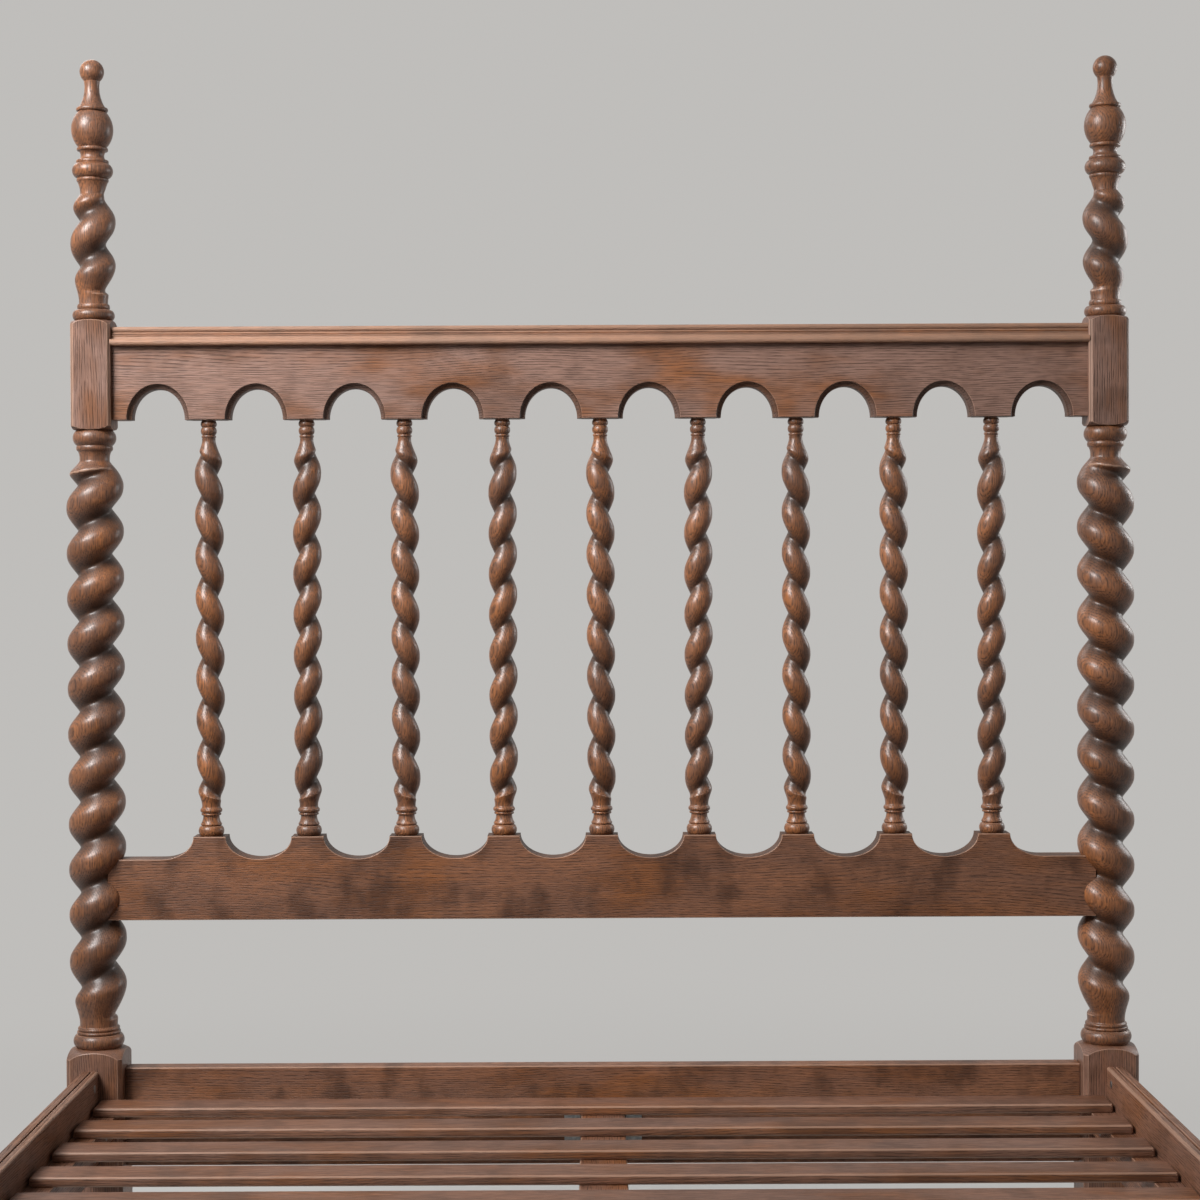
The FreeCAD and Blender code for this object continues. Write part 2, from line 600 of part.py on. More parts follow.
def arch_cutters(x):
    """Opening of one arch and the chamfer along it on both faces of the rail."""
    half = ARCH_WIDTH / 2 - ARCH_CHAMFER
    height = ARCH_HEIGHT - ARCH_CHAMFER
    front = POST_Y - TOP_RAIL_THICKNESS / 2
    back = POST_Y + TOP_RAIL_THICKNESS / 2
    cutters = [Part.Face(arch_wire(half, height, x, front)).extrude(V(0, TOP_RAIL_THICKNESS, 0))]
    for face, inward in ((front, 1), (back, -1)):
        wide = arch_wire(ARCH_WIDTH / 2, ARCH_HEIGHT, x, face)
        narrow = arch_wire(half, height, x, face + inward * ARCH_CHAMFER)
        cutters.append(Part.makeLoft([wide, narrow], True, True))
    return cutters


def top_rail_tenon(side, clearance, end_gap):
    """Tenon of the top rail at one end, or with clearance the mortise that takes it."""
    outer = BLOCK_FACE_X + TOP_RAIL_TENON_LENGTH + end_gap
    half = TOP_RAIL_TENON_THICKNESS / 2 + clearance
    x_low, x_high = sorted((side * BLOCK_FACE_X, side * outer))
    return block(
        x_low, x_high, POST_Y - half, POST_Y + half,
        TOP_RAIL_BOTTOM + TOP_RAIL_TENON_SHOULDER - clearance,
        TOP_RAIL_TOP - TOP_RAIL_TENON_SHOULDER + clearance,
    )


def spindle_socket(x, z, radius, up):
    return cylinder(
        radius + ROUND_CLEARANCE, SPINDLE_TENON_LENGTH + SOCKET_END_GAP, V(x, POST_Y, z), V(0, 0, up),
    )


def top_rail():
    half = TOP_RAIL_THICKNESS / 2
    rail = block(-BLOCK_FACE_X, BLOCK_FACE_X, POST_Y - half, POST_Y + half, TOP_RAIL_BOTTOM, TOP_RAIL_TOP)
    rail = rail.fuse([top_rail_tenon(side, 0, 0) for side in (-1, 1)])
    cutters = [cutter for x in ARCH_XS for cutter in arch_cutters(x)]
    cutters += [spindle_socket(x, TOP_RAIL_BOTTOM, SPINDLE_HIGH_TENON_RADIUS, 1) for x in SPINDLE_XS]
    return solid_of(rail.cut(cutters))


def cap_moulding():
    """Two-bead moulding along the top of the arcaded rail, the same on both faces."""
    half = TOP_RAIL_THICKNESS / 2
    bead = half + CAP_BEAD_OVERHANG
    cove = half + CAP_COVE_OVERHANG
    fillet = half + CAP_FILLET_OVERHANG
    quirk = half + CAP_QUIRK_OVERHANG
    steps = [
        (CAP_BEAD_HEIGHT, bead, CAP_BEAD_BULGE),
        (0, cove, 0),
        (CAP_COVE_HEIGHT, fillet, -CAP_COVE_DEPTH),
        (CAP_FILLET_HEIGHT, fillet, 0),
        (0, quirk, 0),
        (CAP_QUIRK_HEIGHT, quirk, 0),
        (CAP_TOP_BEAD_HEIGHT, quirk, CAP_TOP_BEAD_BULGE),
    ]
    edges, end = contour((bead, TOP_RAIL_TOP), steps)
    middle_low = V(0, 0, TOP_RAIL_TOP)
    middle_high = V(0, 0, end.z)
    edges.append(Part.LineSegment(V(bead, 0, TOP_RAIL_TOP), middle_low).toShape())
    edges.append(Part.LineSegment(end, middle_high).toShape())
    edges.append(Part.LineSegment(middle_high, middle_low).toShape())
    profile = Part.Face(Part.Wire(Part.__sortEdges__(edges)))
    profile.rotate(V(0, 0, 0), V(0, 0, 1), 90)
    profile.translate(V(-BLOCK_FACE_X, 0, 0))
    back = profile.extrude(V(2 * BLOCK_FACE_X, 0, 0))
    whole = back.fuse(back.mirror(V(0, 0, 0), V(0, 1, 0)))
    return placed(solid_of(whole), 0, POST_Y)


def scallop_edge(x_from, x_to, middle):
    """Curve of a scallop from one X to another, both on the half ellipse about its middle."""
    half = (ARCH_PITCH - PAD_WIDTH) / 2
    count = 10
    points = []
    for i in range(count + 1):
        start = math.acos(max(-1.0, min(1.0, (x_from - middle) / half)))
        end = math.acos(max(-1.0, min(1.0, (x_to - middle) / half)))
        angle = start + (end - start) * i / count
        points.append(V(middle + half * math.cos(angle), POST_Y, PAD_TOP - SCALLOP_DEPTH * math.sin(angle)))
    curve = Part.BSplineCurve()
    curve.interpolate(points)
    return curve.toShape(), points[0], points[-1]


def lower_rail():
    """Scalloped rail: pads under the spindles, flat ends housed in the twist of the posts."""
    half_pad = PAD_WIDTH / 2
    edges = []
    first = V(-LOWER_RAIL_END_X, POST_Y, PAD_TOP - SCALLOP_DEPTH)
    last = first
    for i, middle in enumerate(ARCH_XS):
        x_from = middle if i == 0 else SPINDLE_XS[i - 1] + half_pad
        x_to = middle if i == ARCH_COUNT - 1 else SPINDLE_XS[i] - half_pad
        curve, begin, end = scallop_edge(x_from, x_to, middle)
        edges.append(Part.LineSegment(last, begin).toShape())
        edges.append(curve)
        last = end
    outline = [
        last,
        V(LOWER_RAIL_END_X, POST_Y, PAD_TOP - SCALLOP_DEPTH),
        V(LOWER_RAIL_END_X, POST_Y, LOWER_RAIL_BOTTOM),
        V(-LOWER_RAIL_END_X, POST_Y, LOWER_RAIL_BOTTOM),
        first,
    ]
    edges += [Part.LineSegment(a, b).toShape() for a, b in zip(outline, outline[1:])]
    face = Part.Face(Part.Wire(Part.__sortEdges__(edges)))
    face.translate(V(0, -LOWER_RAIL_THICKNESS / 2, 0))
    rail = face.extrude(V(0, LOWER_RAIL_THICKNESS, 0))
    sockets = [spindle_socket(x, PAD_TOP, SPINDLE_LOW_TENON_RADIUS, -1) for x in SPINDLE_XS]
    return solid_of(rail.cut(sockets))


def lower_rail_housing(side):
    """Pocket in a twist that takes the end of the lower rail."""
    half = LOWER_RAIL_THICKNESS / 2 + TENON_CLEARANCE
    inner = POST_X - MAIN_TWIST_CREST - SOCKET_END_GAP
    x_low, x_high = sorted((side * inner, side * (LOWER_RAIL_END_X + TENON_CLEARANCE)))
    return block(
        x_low, x_high, POST_Y - half, POST_Y + half,
        LOWER_RAIL_BOTTOM - TENON_CLEARANCE, PAD_TOP - SCALLOP_DEPTH + TENON_CLEARANCE,
    )


def spindle():
    """Right-handed spindle between the pads and the top rail, on the bed's axis."""
    torus_edge = SPINDLE_TORUS_RADIUS - SPINDLE_TORUS_BULGE
    low_ring_edge = SPINDLE_LOW_RING_RADIUS - SPINDLE_LOW_RING_BULGE
    bottom_ring_edge = SPINDLE_BOTTOM_RING_RADIUS - SPINDLE_BOTTOM_RING_BULGE
    foot = turned(PAD_TOP, torus_edge, [
        (SPINDLE_TORUS_HEIGHT, torus_edge, SPINDLE_TORUS_BULGE),
        (0, SPINDLE_QUIRK_RADIUS, 0),
        (SPINDLE_QUIRK_HEIGHT, SPINDLE_QUIRK_RADIUS, 0),
        (0, low_ring_edge, 0),
        (SPINDLE_LOW_RING_HEIGHT, low_ring_edge, SPINDLE_LOW_RING_BULGE),
        (0, SPINDLE_COVE_RADIUS, 0),
        (SPINDLE_COVE_HEIGHT, SPINDLE_COVE_RADIUS, -SPINDLE_COVE_DEPTH),
        (0, SPINDLE_MID_RING_RADIUS, 0),
        (SPINDLE_MID_RING_HEIGHT, SPINDLE_MID_RING_RADIUS, 0),
        (0, SPINDLE_QUIRK_RADIUS, 0),
        (SPINDLE_QUIRK_HEIGHT, SPINDLE_QUIRK_RADIUS, 0),
        (0, bottom_ring_edge, 0),
        (SPINDLE_BOTTOM_RING_HEIGHT, bottom_ring_edge, SPINDLE_BOTTOM_RING_BULGE),
    ])
    shaft = twist(
        SPINDLE_TWIST_BOTTOM, SPINDLE_TWIST_TOP - SPINDLE_TWIST_BOTTOM, SPINDLE_TWIST_TURNS,
        SPINDLE_TWIST_CREST, SPINDLE_TWIST_GROOVE, SPINDLE_TWIST_LEAD, SPINDLE_TWIST_LOW_NECK,
        SPINDLE_TWIST_HIGH_NECK, SPINDLE_TWIST_LOW_EASE, SPINDLE_TWIST_HIGH_EASE,
        SPINDLE_TWIST_NECK_LENGTH,
    )
    ring_edge = SPINDLE_TOP_RING_RADIUS - SPINDLE_TOP_RING_BULGE
    top_torus_edge = SPINDLE_TOP_TORUS_RADIUS - SPINDLE_TOP_TORUS_BULGE
    bead_edge = SPINDLE_TOP_BEAD_RADIUS - SPINDLE_TOP_BEAD_BULGE
    head = turned(SPINDLE_TWIST_TOP, ring_edge, [
        (SPINDLE_TOP_RING_HEIGHT, ring_edge, SPINDLE_TOP_RING_BULGE),
        (0, top_torus_edge, 0),
        (SPINDLE_TOP_TORUS_HEIGHT, top_torus_edge, SPINDLE_TOP_TORUS_BULGE),
        (0, bead_edge, 0),
        (SPINDLE_TOP_BEAD_HEIGHT, bead_edge, SPINDLE_TOP_BEAD_BULGE),
    ])
    low_tenon = cylinder(SPINDLE_LOW_TENON_RADIUS, SPINDLE_TENON_LENGTH, V(0, 0, PAD_TOP), V(0, 0, -1))
    high_tenon = cylinder(
        SPINDLE_HIGH_TENON_RADIUS, SPINDLE_TENON_LENGTH, V(0, 0, TOP_RAIL_BOTTOM), V(0, 0, 1),
    )
    return solid_of(foot.fuse([shaft, head, low_tenon, high_tenon]))


def end_rail_tenon(side, end, clearance, end_gap):
    """Tenon of the head or foot rail at one side, or with clearance the mortise that takes it."""
    outer = LEG_FACE_X + END_RAIL_TENON_LENGTH + end_gap
    half = END_RAIL_TENON_THICKNESS / 2 + clearance
    x_low, x_high = sorted((side * LEG_FACE_X, side * outer))
    return block(
        x_low, x_high, end * POST_Y - half, end * POST_Y + half,
        RAIL_BOTTOM + END_RAIL_TENON_SHOULDER - clearance,
        RAIL_TOP - END_RAIL_TENON_SHOULDER + clearance,
    )


def end_rail(end):
    """Head or foot rail with eased edges, tenoned into the leg blocks."""
    bar = rounded_bar(END_RAIL_THICKNESS, RAIL_HEIGHT, END_RAIL_EASING)
    bar.translate(V(-LEG_FACE_X, end * POST_Y, RAIL_BOTTOM))
    rail = bar.extrude(V(2 * LEG_FACE_X, 0, 0))
    rail = rail.fuse([end_rail_tenon(side, end, 0, 0) for side in (-1, 1)])
    return solid_of(rail.cut(bracket_screw_holes(end)))


def bolt_hole(side, end, z, radius, y_from, y_to):
    """Round hole along the bed on the middle of a side rail."""
    y_low, y_high = sorted((end * y_from, end * y_to))
    return cylinder(radius, y_high - y_low, V(side * RAIL_MIDDLE_X, y_low, z), V(0, 1, 0))


def ledger_screw_places():
    """Y and Z of the screws through a ledger."""
    half = LEG_FACE_Y - LEDGER_SCREW_END
    step = 2 * half / (LEDGER_SCREW_COUNT - 1)
    return [(-half + i * step, SLAT_BOTTOM - LEDGER_HEIGHT / 2) for i in range(LEDGER_SCREW_COUNT)]


def screw(length, radius, head_radius, head_height):
    """Countersunk screw or its hole, with the flat of its head on Z = 0 and its point down."""
    head = Part.makeCone(head_radius, radius, head_height, V(0, 0, 0), V(0, 0, -1))
    return solid_of(head.fuse(cylinder(radius, length, V(0, 0, 0), V(0, 0, -1))))


def aimed(shape, direction, place):
    """A screw made along -Z, turned to point along a direction from a place."""
    turned_shape = shape.copy()
    turned_shape.Placement = FreeCAD.Placement(place, FreeCAD.Rotation(V(0, 0, -1), direction))
    return turned_shape


def ledger_screw_shapes(side, clearance):
    length = LEDGER_WIDTH + LEDGER_SCREW_BITE + clearance
    one = screw(length, SCREW_RADIUS + clearance, SCREW_HEAD_RADIUS + clearance, SCREW_HEAD_HEIGHT)
    x = side * (RAIL_INNER_X - LEDGER_WIDTH)
    return [aimed(one, V(side, 0, 0), V(x, y, z)) for y, z in ledger_screw_places()]


def bracket_screw_places():
    """X and Z of the screws through the flanges of a beam bracket."""
    x = BRACKET_HALF_WIDTH + BRACKET_FLANGE_WIDTH / 2
    low = BEAM_BOTTOM - BRACKET_THICKNESS + BRACKET_SCREW_EDGE
    high = BEAM_BOTTOM + BRACKET_CHEEK_HEIGHT - BRACKET_SCREW_EDGE
    return [(side * x, z) for side in (-1, 1) for z in (low, high)]


def bracket_screw_shapes(end, clearance):
    one = screw(
        BRACKET_SCREW_LENGTH + clearance, SCREW_RADIUS + clearance,
        SCREW_HEAD_RADIUS + clearance, SCREW_HEAD_HEIGHT,
    )
    y = end * (END_RAIL_FACE_Y - BRACKET_THICKNESS)
    return [aimed(one, V(0, end, 0), V(x, y, z)) for x, z in bracket_screw_places()]


def bracket_screw_holes(end):
    return bracket_screw_shapes(end, ROUND_CLEARANCE)


def side_rail(side):
    """Side rail between the posts, with a quirked bead along its inner top edge."""
    height = RAIL_HEIGHT
    thick = SIDE_RAIL_THICKNESS
    bead = SIDE_RAIL_BEAD_RADIUS
    bend = bead * (1 - math.sqrt(0.5))
    quirk_near = SIDE_RAIL_BEAD_WIDTH
    quirk_far = SIDE_RAIL_BEAD_WIDTH + SIDE_RAIL_QUIRK_WIDTH
    quirk_middle = (quirk_near + quirk_far) / 2
    points = [
        V(bead, 0, height),
        V(quirk_near, 0, height),
        V(quirk_middle, 0, height - SIDE_RAIL_QUIRK_DEPTH),
        V(quirk_far, 0, height),
        V(thick, 0, height),
        V(thick, 0, 0),
        V(0, 0, 0),
        V(0, 0, height - bead),
    ]
    edges = [Part.LineSegment(a, b).toShape() for a, b in zip(points, points[1:])]
    edges.append(Part.Arc(points[-1], V(bend, 0, height - bend), points[0]).toShape())
    profile = Part.Face(Part.Wire(Part.__sortEdges__(edges)))
    profile.translate(V(RAIL_INNER_X, -LEG_FACE_Y, RAIL_BOTTOM))
    rail = profile.extrude(V(0, 2 * LEG_FACE_Y, 0))
    if side < 0:
        rail = rail.mirror(V(0, 0, 0), V(1, 0, 0))
    holes = ledger_screw_shapes(side, ROUND_CLEARANCE)
    bolt_end = NUT_Y - NUT_RADIUS - BOLT_PASSING_NUT - SOCKET_END_GAP
    for end in (-1, 1):
        for z in BOLT_ZS:
            holes.append(bolt_hole(side, end, z, BOLT_RADIUS + ROUND_CLEARANCE, bolt_end, LEG_FACE_Y))
            holes.append(nut_body(side, end, z, ROUND_CLEARANCE))
    return solid_of(rail.cut(holes))


def nut_body(side, end, z, clearance):
    """Barrel nut across a side rail, let in from its inner face, or the hole for it."""
    start = V(side * RAIL_INNER_X, end * NUT_Y, z)
    return cylinder(NUT_RADIUS + clearance, NUT_LENGTH + clearance, start, V(side, 0, 0))


def barrel_nuts():
    nuts = []
    for side, end in CORNERS.values():
        for z in BOLT_ZS:
            thread = bolt_hole(side, end, z, BOLT_RADIUS + THREAD_CLEARANCE, NUT_Y - NUT_LENGTH, LEG_FACE_Y)
            nuts.append(solid_of(nut_body(side, end, z, 0).cut(thread)))
    return Part.makeCompound(nuts)


def bed_bolts():
    bolts = []
    for side, end in CORNERS.values():
        for z in BOLT_ZS:
            shank = bolt_hole(side, end, z, BOLT_RADIUS, NUT_Y - NUT_RADIUS - BOLT_PASSING_NUT, BOLT_HEAD_Y)
            head = bolt_hole(side, end, z, BOLT_HEAD_RADIUS, BOLT_HEAD_Y, BOLT_HEAD_Y + BOLT_HEAD_HEIGHT)
            bolts.append(solid_of(shank.fuse(head)))
    return Part.makeCompound(bolts)


def bolt_covers():
    """Turned wooden buttons that close the counterbores of the bed bolts."""
    outer = POST_Y + LEG_WIDTH / 2 - COVER_RECESS
    button = turned(0, BOLT_COUNTERBORE_RADIUS - ROUND_CLEARANCE, [
        (COVER_HEIGHT - COVER_DOME, BOLT_COUNTERBORE_RADIUS - ROUND_CLEARANCE, 0),
        (COVER_DOME, BOLT_COUNTERBORE_RADIUS / 2, COVER_DOME / 4),
    ])
    covers = []
    for side, end in CORNERS.values():
        for z in BOLT_ZS:
            cover = button.copy()
            cover.Placement = FreeCAD.Placement(
                V(side * RAIL_MIDDLE_X, end * (outer - COVER_HEIGHT), z),
                FreeCAD.Rotation(V(0, 0, 1), V(0, end, 0)),
            )
            covers.append(cover)
    return Part.makeCompound(covers)


def lower_post_at(blank, side, end):
    """Lower post in its corner, with the mortises and bolt holes that this corner has."""
    post = placed(in_hand(blank, -side), side * POST_X, end * POST_Y)
    outer = POST_Y + LEG_WIDTH / 2
    holes = [end_rail_tenon(side, end, TENON_CLEARANCE, SOCKET_END_GAP)]
    for z in BOLT_ZS:
        holes.append(bolt_hole(side, end, z, BOLT_RADIUS + ROUND_CLEARANCE, LEG_FACE_Y, outer))
        holes.append(bolt_hole(side, end, z, BOLT_COUNTERBORE_RADIUS, BOLT_HEAD_Y, outer))
    if end > 0:
        holes.append(lower_rail_housing(side))
    return solid_of(post.cut(holes))


def upper_post_at(blank, side, end):
    post = placed(in_hand(blank, -side), side * POST_X, end * POST_Y)
    if end > 0:
        post = solid_of(post.cut(top_rail_tenon(side, TENON_CLEARANCE, SOCKET_END_GAP)))
    return post


def ledger(side):
    half = LEG_FACE_Y - LEDGER_END_GAP
    x_low, x_high = sorted((side * (RAIL_INNER_X - LEDGER_WIDTH), side * RAIL_INNER_X))
    strip = block(x_low, x_high, -half, half, SLAT_BOTTOM - LEDGER_HEIGHT, SLAT_BOTTOM)
    return solid_of(strip.cut(ledger_screw_shapes(side, ROUND_CLEARANCE)))


def slat(index):
    bar = rounded_bar(SLAT_WIDTH, SLAT_THICKNESS, SLAT_EASING)
    bar.translate(V(-SLAT_HALF_LENGTH, LAST_SLAT_Y - index * SLAT_PITCH, SLAT_BOTTOM))
    return bar.extrude(V(2 * SLAT_HALF_LENGTH, 0, 0))


def centre_leg_ys():
    return {"head": CENTRE_LEG_SPACING / 2, "foot": -CENTRE_LEG_SPACING / 2}


def centre_beam():
    half = BEAM_WIDTH / 2
    beam = block(-half, half, -BEAM_HALF_LENGTH, BEAM_HALF_LENGTH, BEAM_BOTTOM, SLAT_BOTTOM)
    sockets = []
    for y in centre_leg_ys().values():
        sockets.append(cylinder(
            CENTRE_LEG_TENON_RADIUS + ROUND_CLEARANCE, CENTRE_LEG_TENON_LENGTH + SOCKET_END_GAP,
            V(0, y, BEAM_BOTTOM), V(0, 0, 1),
        ))
    return solid_of(beam.cut(sockets))


def beam_bracket(end):
    """Folded steel seat for one end of the beam, with two screw flanges on the end rail."""
    inner = BEAM_WIDTH / 2 + TENON_CLEARANCE
    outer = BRACKET_HALF_WIDTH
    low = BEAM_BOTTOM - BRACKET_THICKNESS
    high = BEAM_BOTTOM + BRACKET_CHEEK_HEIGHT
    face = END_RAIL_FACE_Y
    plate = face - BRACKET_THICKNESS
    front = plate - BRACKET_SEAT_LENGTH
    wing = outer + BRACKET_FLANGE_WIDTH

    def sheet(x_low, x_high, y_from, y_to, z_low, z_high):
        y_low, y_high = sorted((end * y_from, end * y_to))
        return block(x_low, x_high, y_low, y_high, z_low, z_high)

    seat = sheet(-outer, outer, front, face, low, BEAM_BOTTOM)
    others = [
        sheet(-wing, wing, plate, face, low, high),
        sheet(-outer, -inner, front, face, low, high),
        sheet(inner, outer, front, face, low, high),
    ]
    return solid_of(seat.fuse(others).cut(bracket_screw_holes(end)))


def insert_bore(y, radius, length):
    return cylinder(radius, length, V(0, y, CENTRE_LEG_BOTTOM), V(0, 0, 1))


def centre_leg(y):
    leg = square_blank(CENTRE_LEG_WIDTH, CENTRE_LEG_CHAMFER, CENTRE_LEG_BOTTOM, BEAM_BOTTOM)
    tenon = cylinder(CENTRE_LEG_TENON_RADIUS, CENTRE_LEG_TENON_LENGTH, V(0, 0, BEAM_BOTTOM), V(0, 0, 1))
    leg = placed(leg.fuse(tenon), 0, y)
    stud_reach = FOOT_PAD_HEIGHT + FOOT_STUD_LENGTH + FOOT_TRAVEL - CENTRE_LEG_BOTTOM
    bores = [
        insert_bore(y, INSERT_RADIUS + ROUND_CLEARANCE, INSERT_LENGTH),
        insert_bore(y, FOOT_STUD_RADIUS + SOCKET_END_GAP, stud_reach + SOCKET_END_GAP),
    ]
    return solid_of(leg.cut(bores))


def insert_nuts():
    """Threaded inserts in the feet of the centre legs."""
    nuts = []
    for y in centre_leg_ys().values():
        body = insert_bore(y, INSERT_RADIUS, INSERT_LENGTH)
        nuts.append(solid_of(body.cut(insert_bore(y, FOOT_STUD_RADIUS + THREAD_CLEARANCE, INSERT_LENGTH))))
    return Part.makeCompound(nuts)


def levelling_foot(y):
    """Round pad on a threaded stud that screws up into the leg."""
    easing = FOOT_PAD_EASING
    bend = easing * (1 - math.sqrt(0.5))
    pad = turned(0, FOOT_PAD_RADIUS, [
        (FOOT_PAD_HEIGHT - easing, FOOT_PAD_RADIUS, 0),
        (easing, FOOT_PAD_RADIUS - easing, bend),
    ])
    stud = cylinder(FOOT_STUD_RADIUS, FOOT_STUD_LENGTH, V(0, 0, FOOT_PAD_HEIGHT), V(0, 0, 1))
    return placed(solid_of(pad.fuse(stud)), 0, y)


def all_pieces():
    pieces = {}
    lower_blank = lower_post()
    upper_blank = upper_post()
    finial_blank = finial()
    for corner, (side, end) in CORNERS.items():
        pieces["lower_post_" + corner] = lower_post_at(lower_blank, side, end)
        pieces["upper_post_" + corner] = upper_post_at(upper_blank, side, end)
        pieces["finial_" + corner] = placed(finial_blank, side * POST_X, end * POST_Y)
    pieces["top_rail"] = top_rail()
    pieces["cap_moulding"] = cap_moulding()
    pieces["lower_rail"] = lower_rail()
    spindle_blank = spindle()
    for number, (x, hand) in enumerate(zip(SPINDLE_XS, SPINDLE_HANDS), 1):
        pieces["spindle_%d" % number] = placed(in_hand(spindle_blank, hand), x, POST_Y)
    pieces["head_rail"] = end_rail(1)
    pieces["foot_rail"] = end_rail(-1)
    for name, side in (("left", -1), ("right", 1)):
        pieces["side_rail_" + name] = side_rail(side)
        pieces["ledger_" + name] = ledger(side)
    for index in range(SLAT_COUNT):
        pieces["slat_%02d" % (index + 1)] = slat(index)
    pieces["centre_beam"] = centre_beam()
    pieces["beam_bracket_head"] = beam_bracket(1)
    pieces["beam_bracket_foot"] = beam_bracket(-1)
    for name, y in centre_leg_ys().items():
        pieces["centre_leg_" + name] = centre_leg(y)
        pieces["levelling_foot_" + name] = levelling_foot(y)
    pieces["insert_nuts"] = insert_nuts()
    pieces["bed_bolts"] = bed_bolts()
    pieces["barrel_nuts"] = barrel_nuts()
    pieces["bolt_covers"] = bolt_covers()
    pieces["ledger_screws"] = Part.makeCompound(
        [shape for side in (-1, 1) for shape in ledger_screw_shapes(side, 0)]
    )
    pieces["bracket_screws"] = Part.makeCompound(
        [shape for end in (-1, 1) for shape in bracket_screw_shapes(end, 0)]
    )
    return pieces


def main():
    os.makedirs("parts", exist_ok=True)
    for name, shape in all_pieces().items():
        if not shape.isValid():
            print("not valid:", name)
        shape.exportStep("parts/%s.step" % name)


main()
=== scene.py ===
"""Four-poster bed: carved oak twists, mouldings, finish and studio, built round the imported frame.

Lengths are metres. The turned profiles are in millimetres, as a turner reads them off a story stick.
"""
import math
from itertools import product

import bmesh
import bpy
from bpy.props import FloatProperty, FloatVectorProperty, PointerProperty
from mathutils import Matrix, Vector


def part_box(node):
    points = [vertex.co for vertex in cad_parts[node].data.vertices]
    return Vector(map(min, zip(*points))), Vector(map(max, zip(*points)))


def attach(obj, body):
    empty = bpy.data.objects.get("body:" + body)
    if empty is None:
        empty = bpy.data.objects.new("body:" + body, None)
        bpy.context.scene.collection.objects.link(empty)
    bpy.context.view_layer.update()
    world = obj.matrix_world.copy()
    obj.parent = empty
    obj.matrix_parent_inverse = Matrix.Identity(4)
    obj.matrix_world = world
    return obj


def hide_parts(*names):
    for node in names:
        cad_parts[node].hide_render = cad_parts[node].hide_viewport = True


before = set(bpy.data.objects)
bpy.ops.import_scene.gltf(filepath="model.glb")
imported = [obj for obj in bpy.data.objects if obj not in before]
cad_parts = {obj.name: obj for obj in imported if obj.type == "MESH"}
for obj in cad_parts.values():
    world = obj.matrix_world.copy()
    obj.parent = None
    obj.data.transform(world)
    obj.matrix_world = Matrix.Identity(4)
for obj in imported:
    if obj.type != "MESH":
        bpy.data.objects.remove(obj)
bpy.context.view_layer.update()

bl_info = {
    "name": "Barley-twist four-poster bed",
    "version": (1, 0, 0),
    "blender": (4, 5, 0),
    "location": "3D View > Sidebar > Bed",
    "description": "Carved posts, arcaded headboard, slatted deck and oak finish of a four-poster bed",
    "category": "Object",
}

MM = 0.001
FRAME_BODY = "bed_frame"

# The corners of the bed with the side across it on which each lies, its sides and its ends
CORNERS = {"head_left": -1, "head_right": 1, "foot_left": -1, "foot_right": 1}
SIDES = {"left": -1, "right": 1}
ENDS = {"foot": -1, "head": 1}
SLATS = ["slat_%02d" % place for place in range(1, 17)]
SPINDLES = ["spindle_%d" % place for place in range(1, 10)]
# Which way each spindle climbs, from left to right: 1 climbs to the right seen from the foot end
SPINDLE_HANDS = (-1, 1, -1, 1, -1, 1, -1, -1, 1)

# Turned profiles in millimetres: rise, radius reached, and bulge of the arc (below 0 a cove)
FOOT_TURNING = (
    (20, 33.2, 5), (0, 31.2, 0), (0.8, 31.2, 0), (0, 31.8, 0), (4.6, 31.4, 1.2),
    (0, 30.2, 0), (0.8, 30.2, 0), (0, 30.5, 0), (5, 29.6, 1.4), (2.4, 28.3, -0.4),
)
COLLAR_TURNING = ((8, 26.3, 1.2), (0, 27, 0), (23, 27, 5.5))
CROWN_TURNING = ((16, 27.5, 4), (0, 23, 0), (9, 23, 1.5))
FINIAL_TURNING = (
    (6, 22.8, 1.2), (0, 24, 0), (22, 24, 6.5), (0, 23.5, 0), (5, 23.5, 0.8), (0, 20.5, 0),
    (14, 20.5, -3), (0, 22.5, 0), (5, 22.5, 0.8), (0, 20.4, 0), (55, 20.4, 11), (0, 23, 0),
    (5, 23, 0.8), (0, 20.4, 0), (41, 11.7, -4), (14.07, 18.3, 1.6), (18.3, 0, 5.36),
)
SPINDLE_FOOT_TURNING = (
    (15, 16.2, 3.2), (0, 14.6, 0), (0.9, 14.6, 0), (0, 15.2, 0), (3.3, 15.2, 0.8),
    (11.5, 12.3, -0.9), (0.7, 12.3, 0), (0, 14.4, 0), (3.1, 14.4, 0.6), (0, 13.6, 0),
    (1.1, 13.6, 0), (0, 15.2, 0), (6.2, 15.2, 1.4), (3.4, 13.9, -0.4),
)
SPINDLE_HEAD_TURNING = (
    (1.5, 9.8, 0), (0, 10.1, 0), (4.2, 10.1, 0.9), (0, 9.1, 0), (0.8, 9.1, 0), (0, 10.2, 0),
    (11.2, 10.2, 1.9), (0, 9.5, 0), (0.8, 9.5, 0), (0, 10.6, 0), (8.5, 10.6, 1.6), (2, 10.8, 0),
)
# The cap moulding, as half depth instead of radius
CAP_PROFILE = (
    (10, 26, 3.6), (0, 22, 0), (6, 20.5, -1.6), (3.5, 20.5, 0), (0, 18.5, 0), (1.5, 18.5, 0), (8, 18.5, 2.4),
)
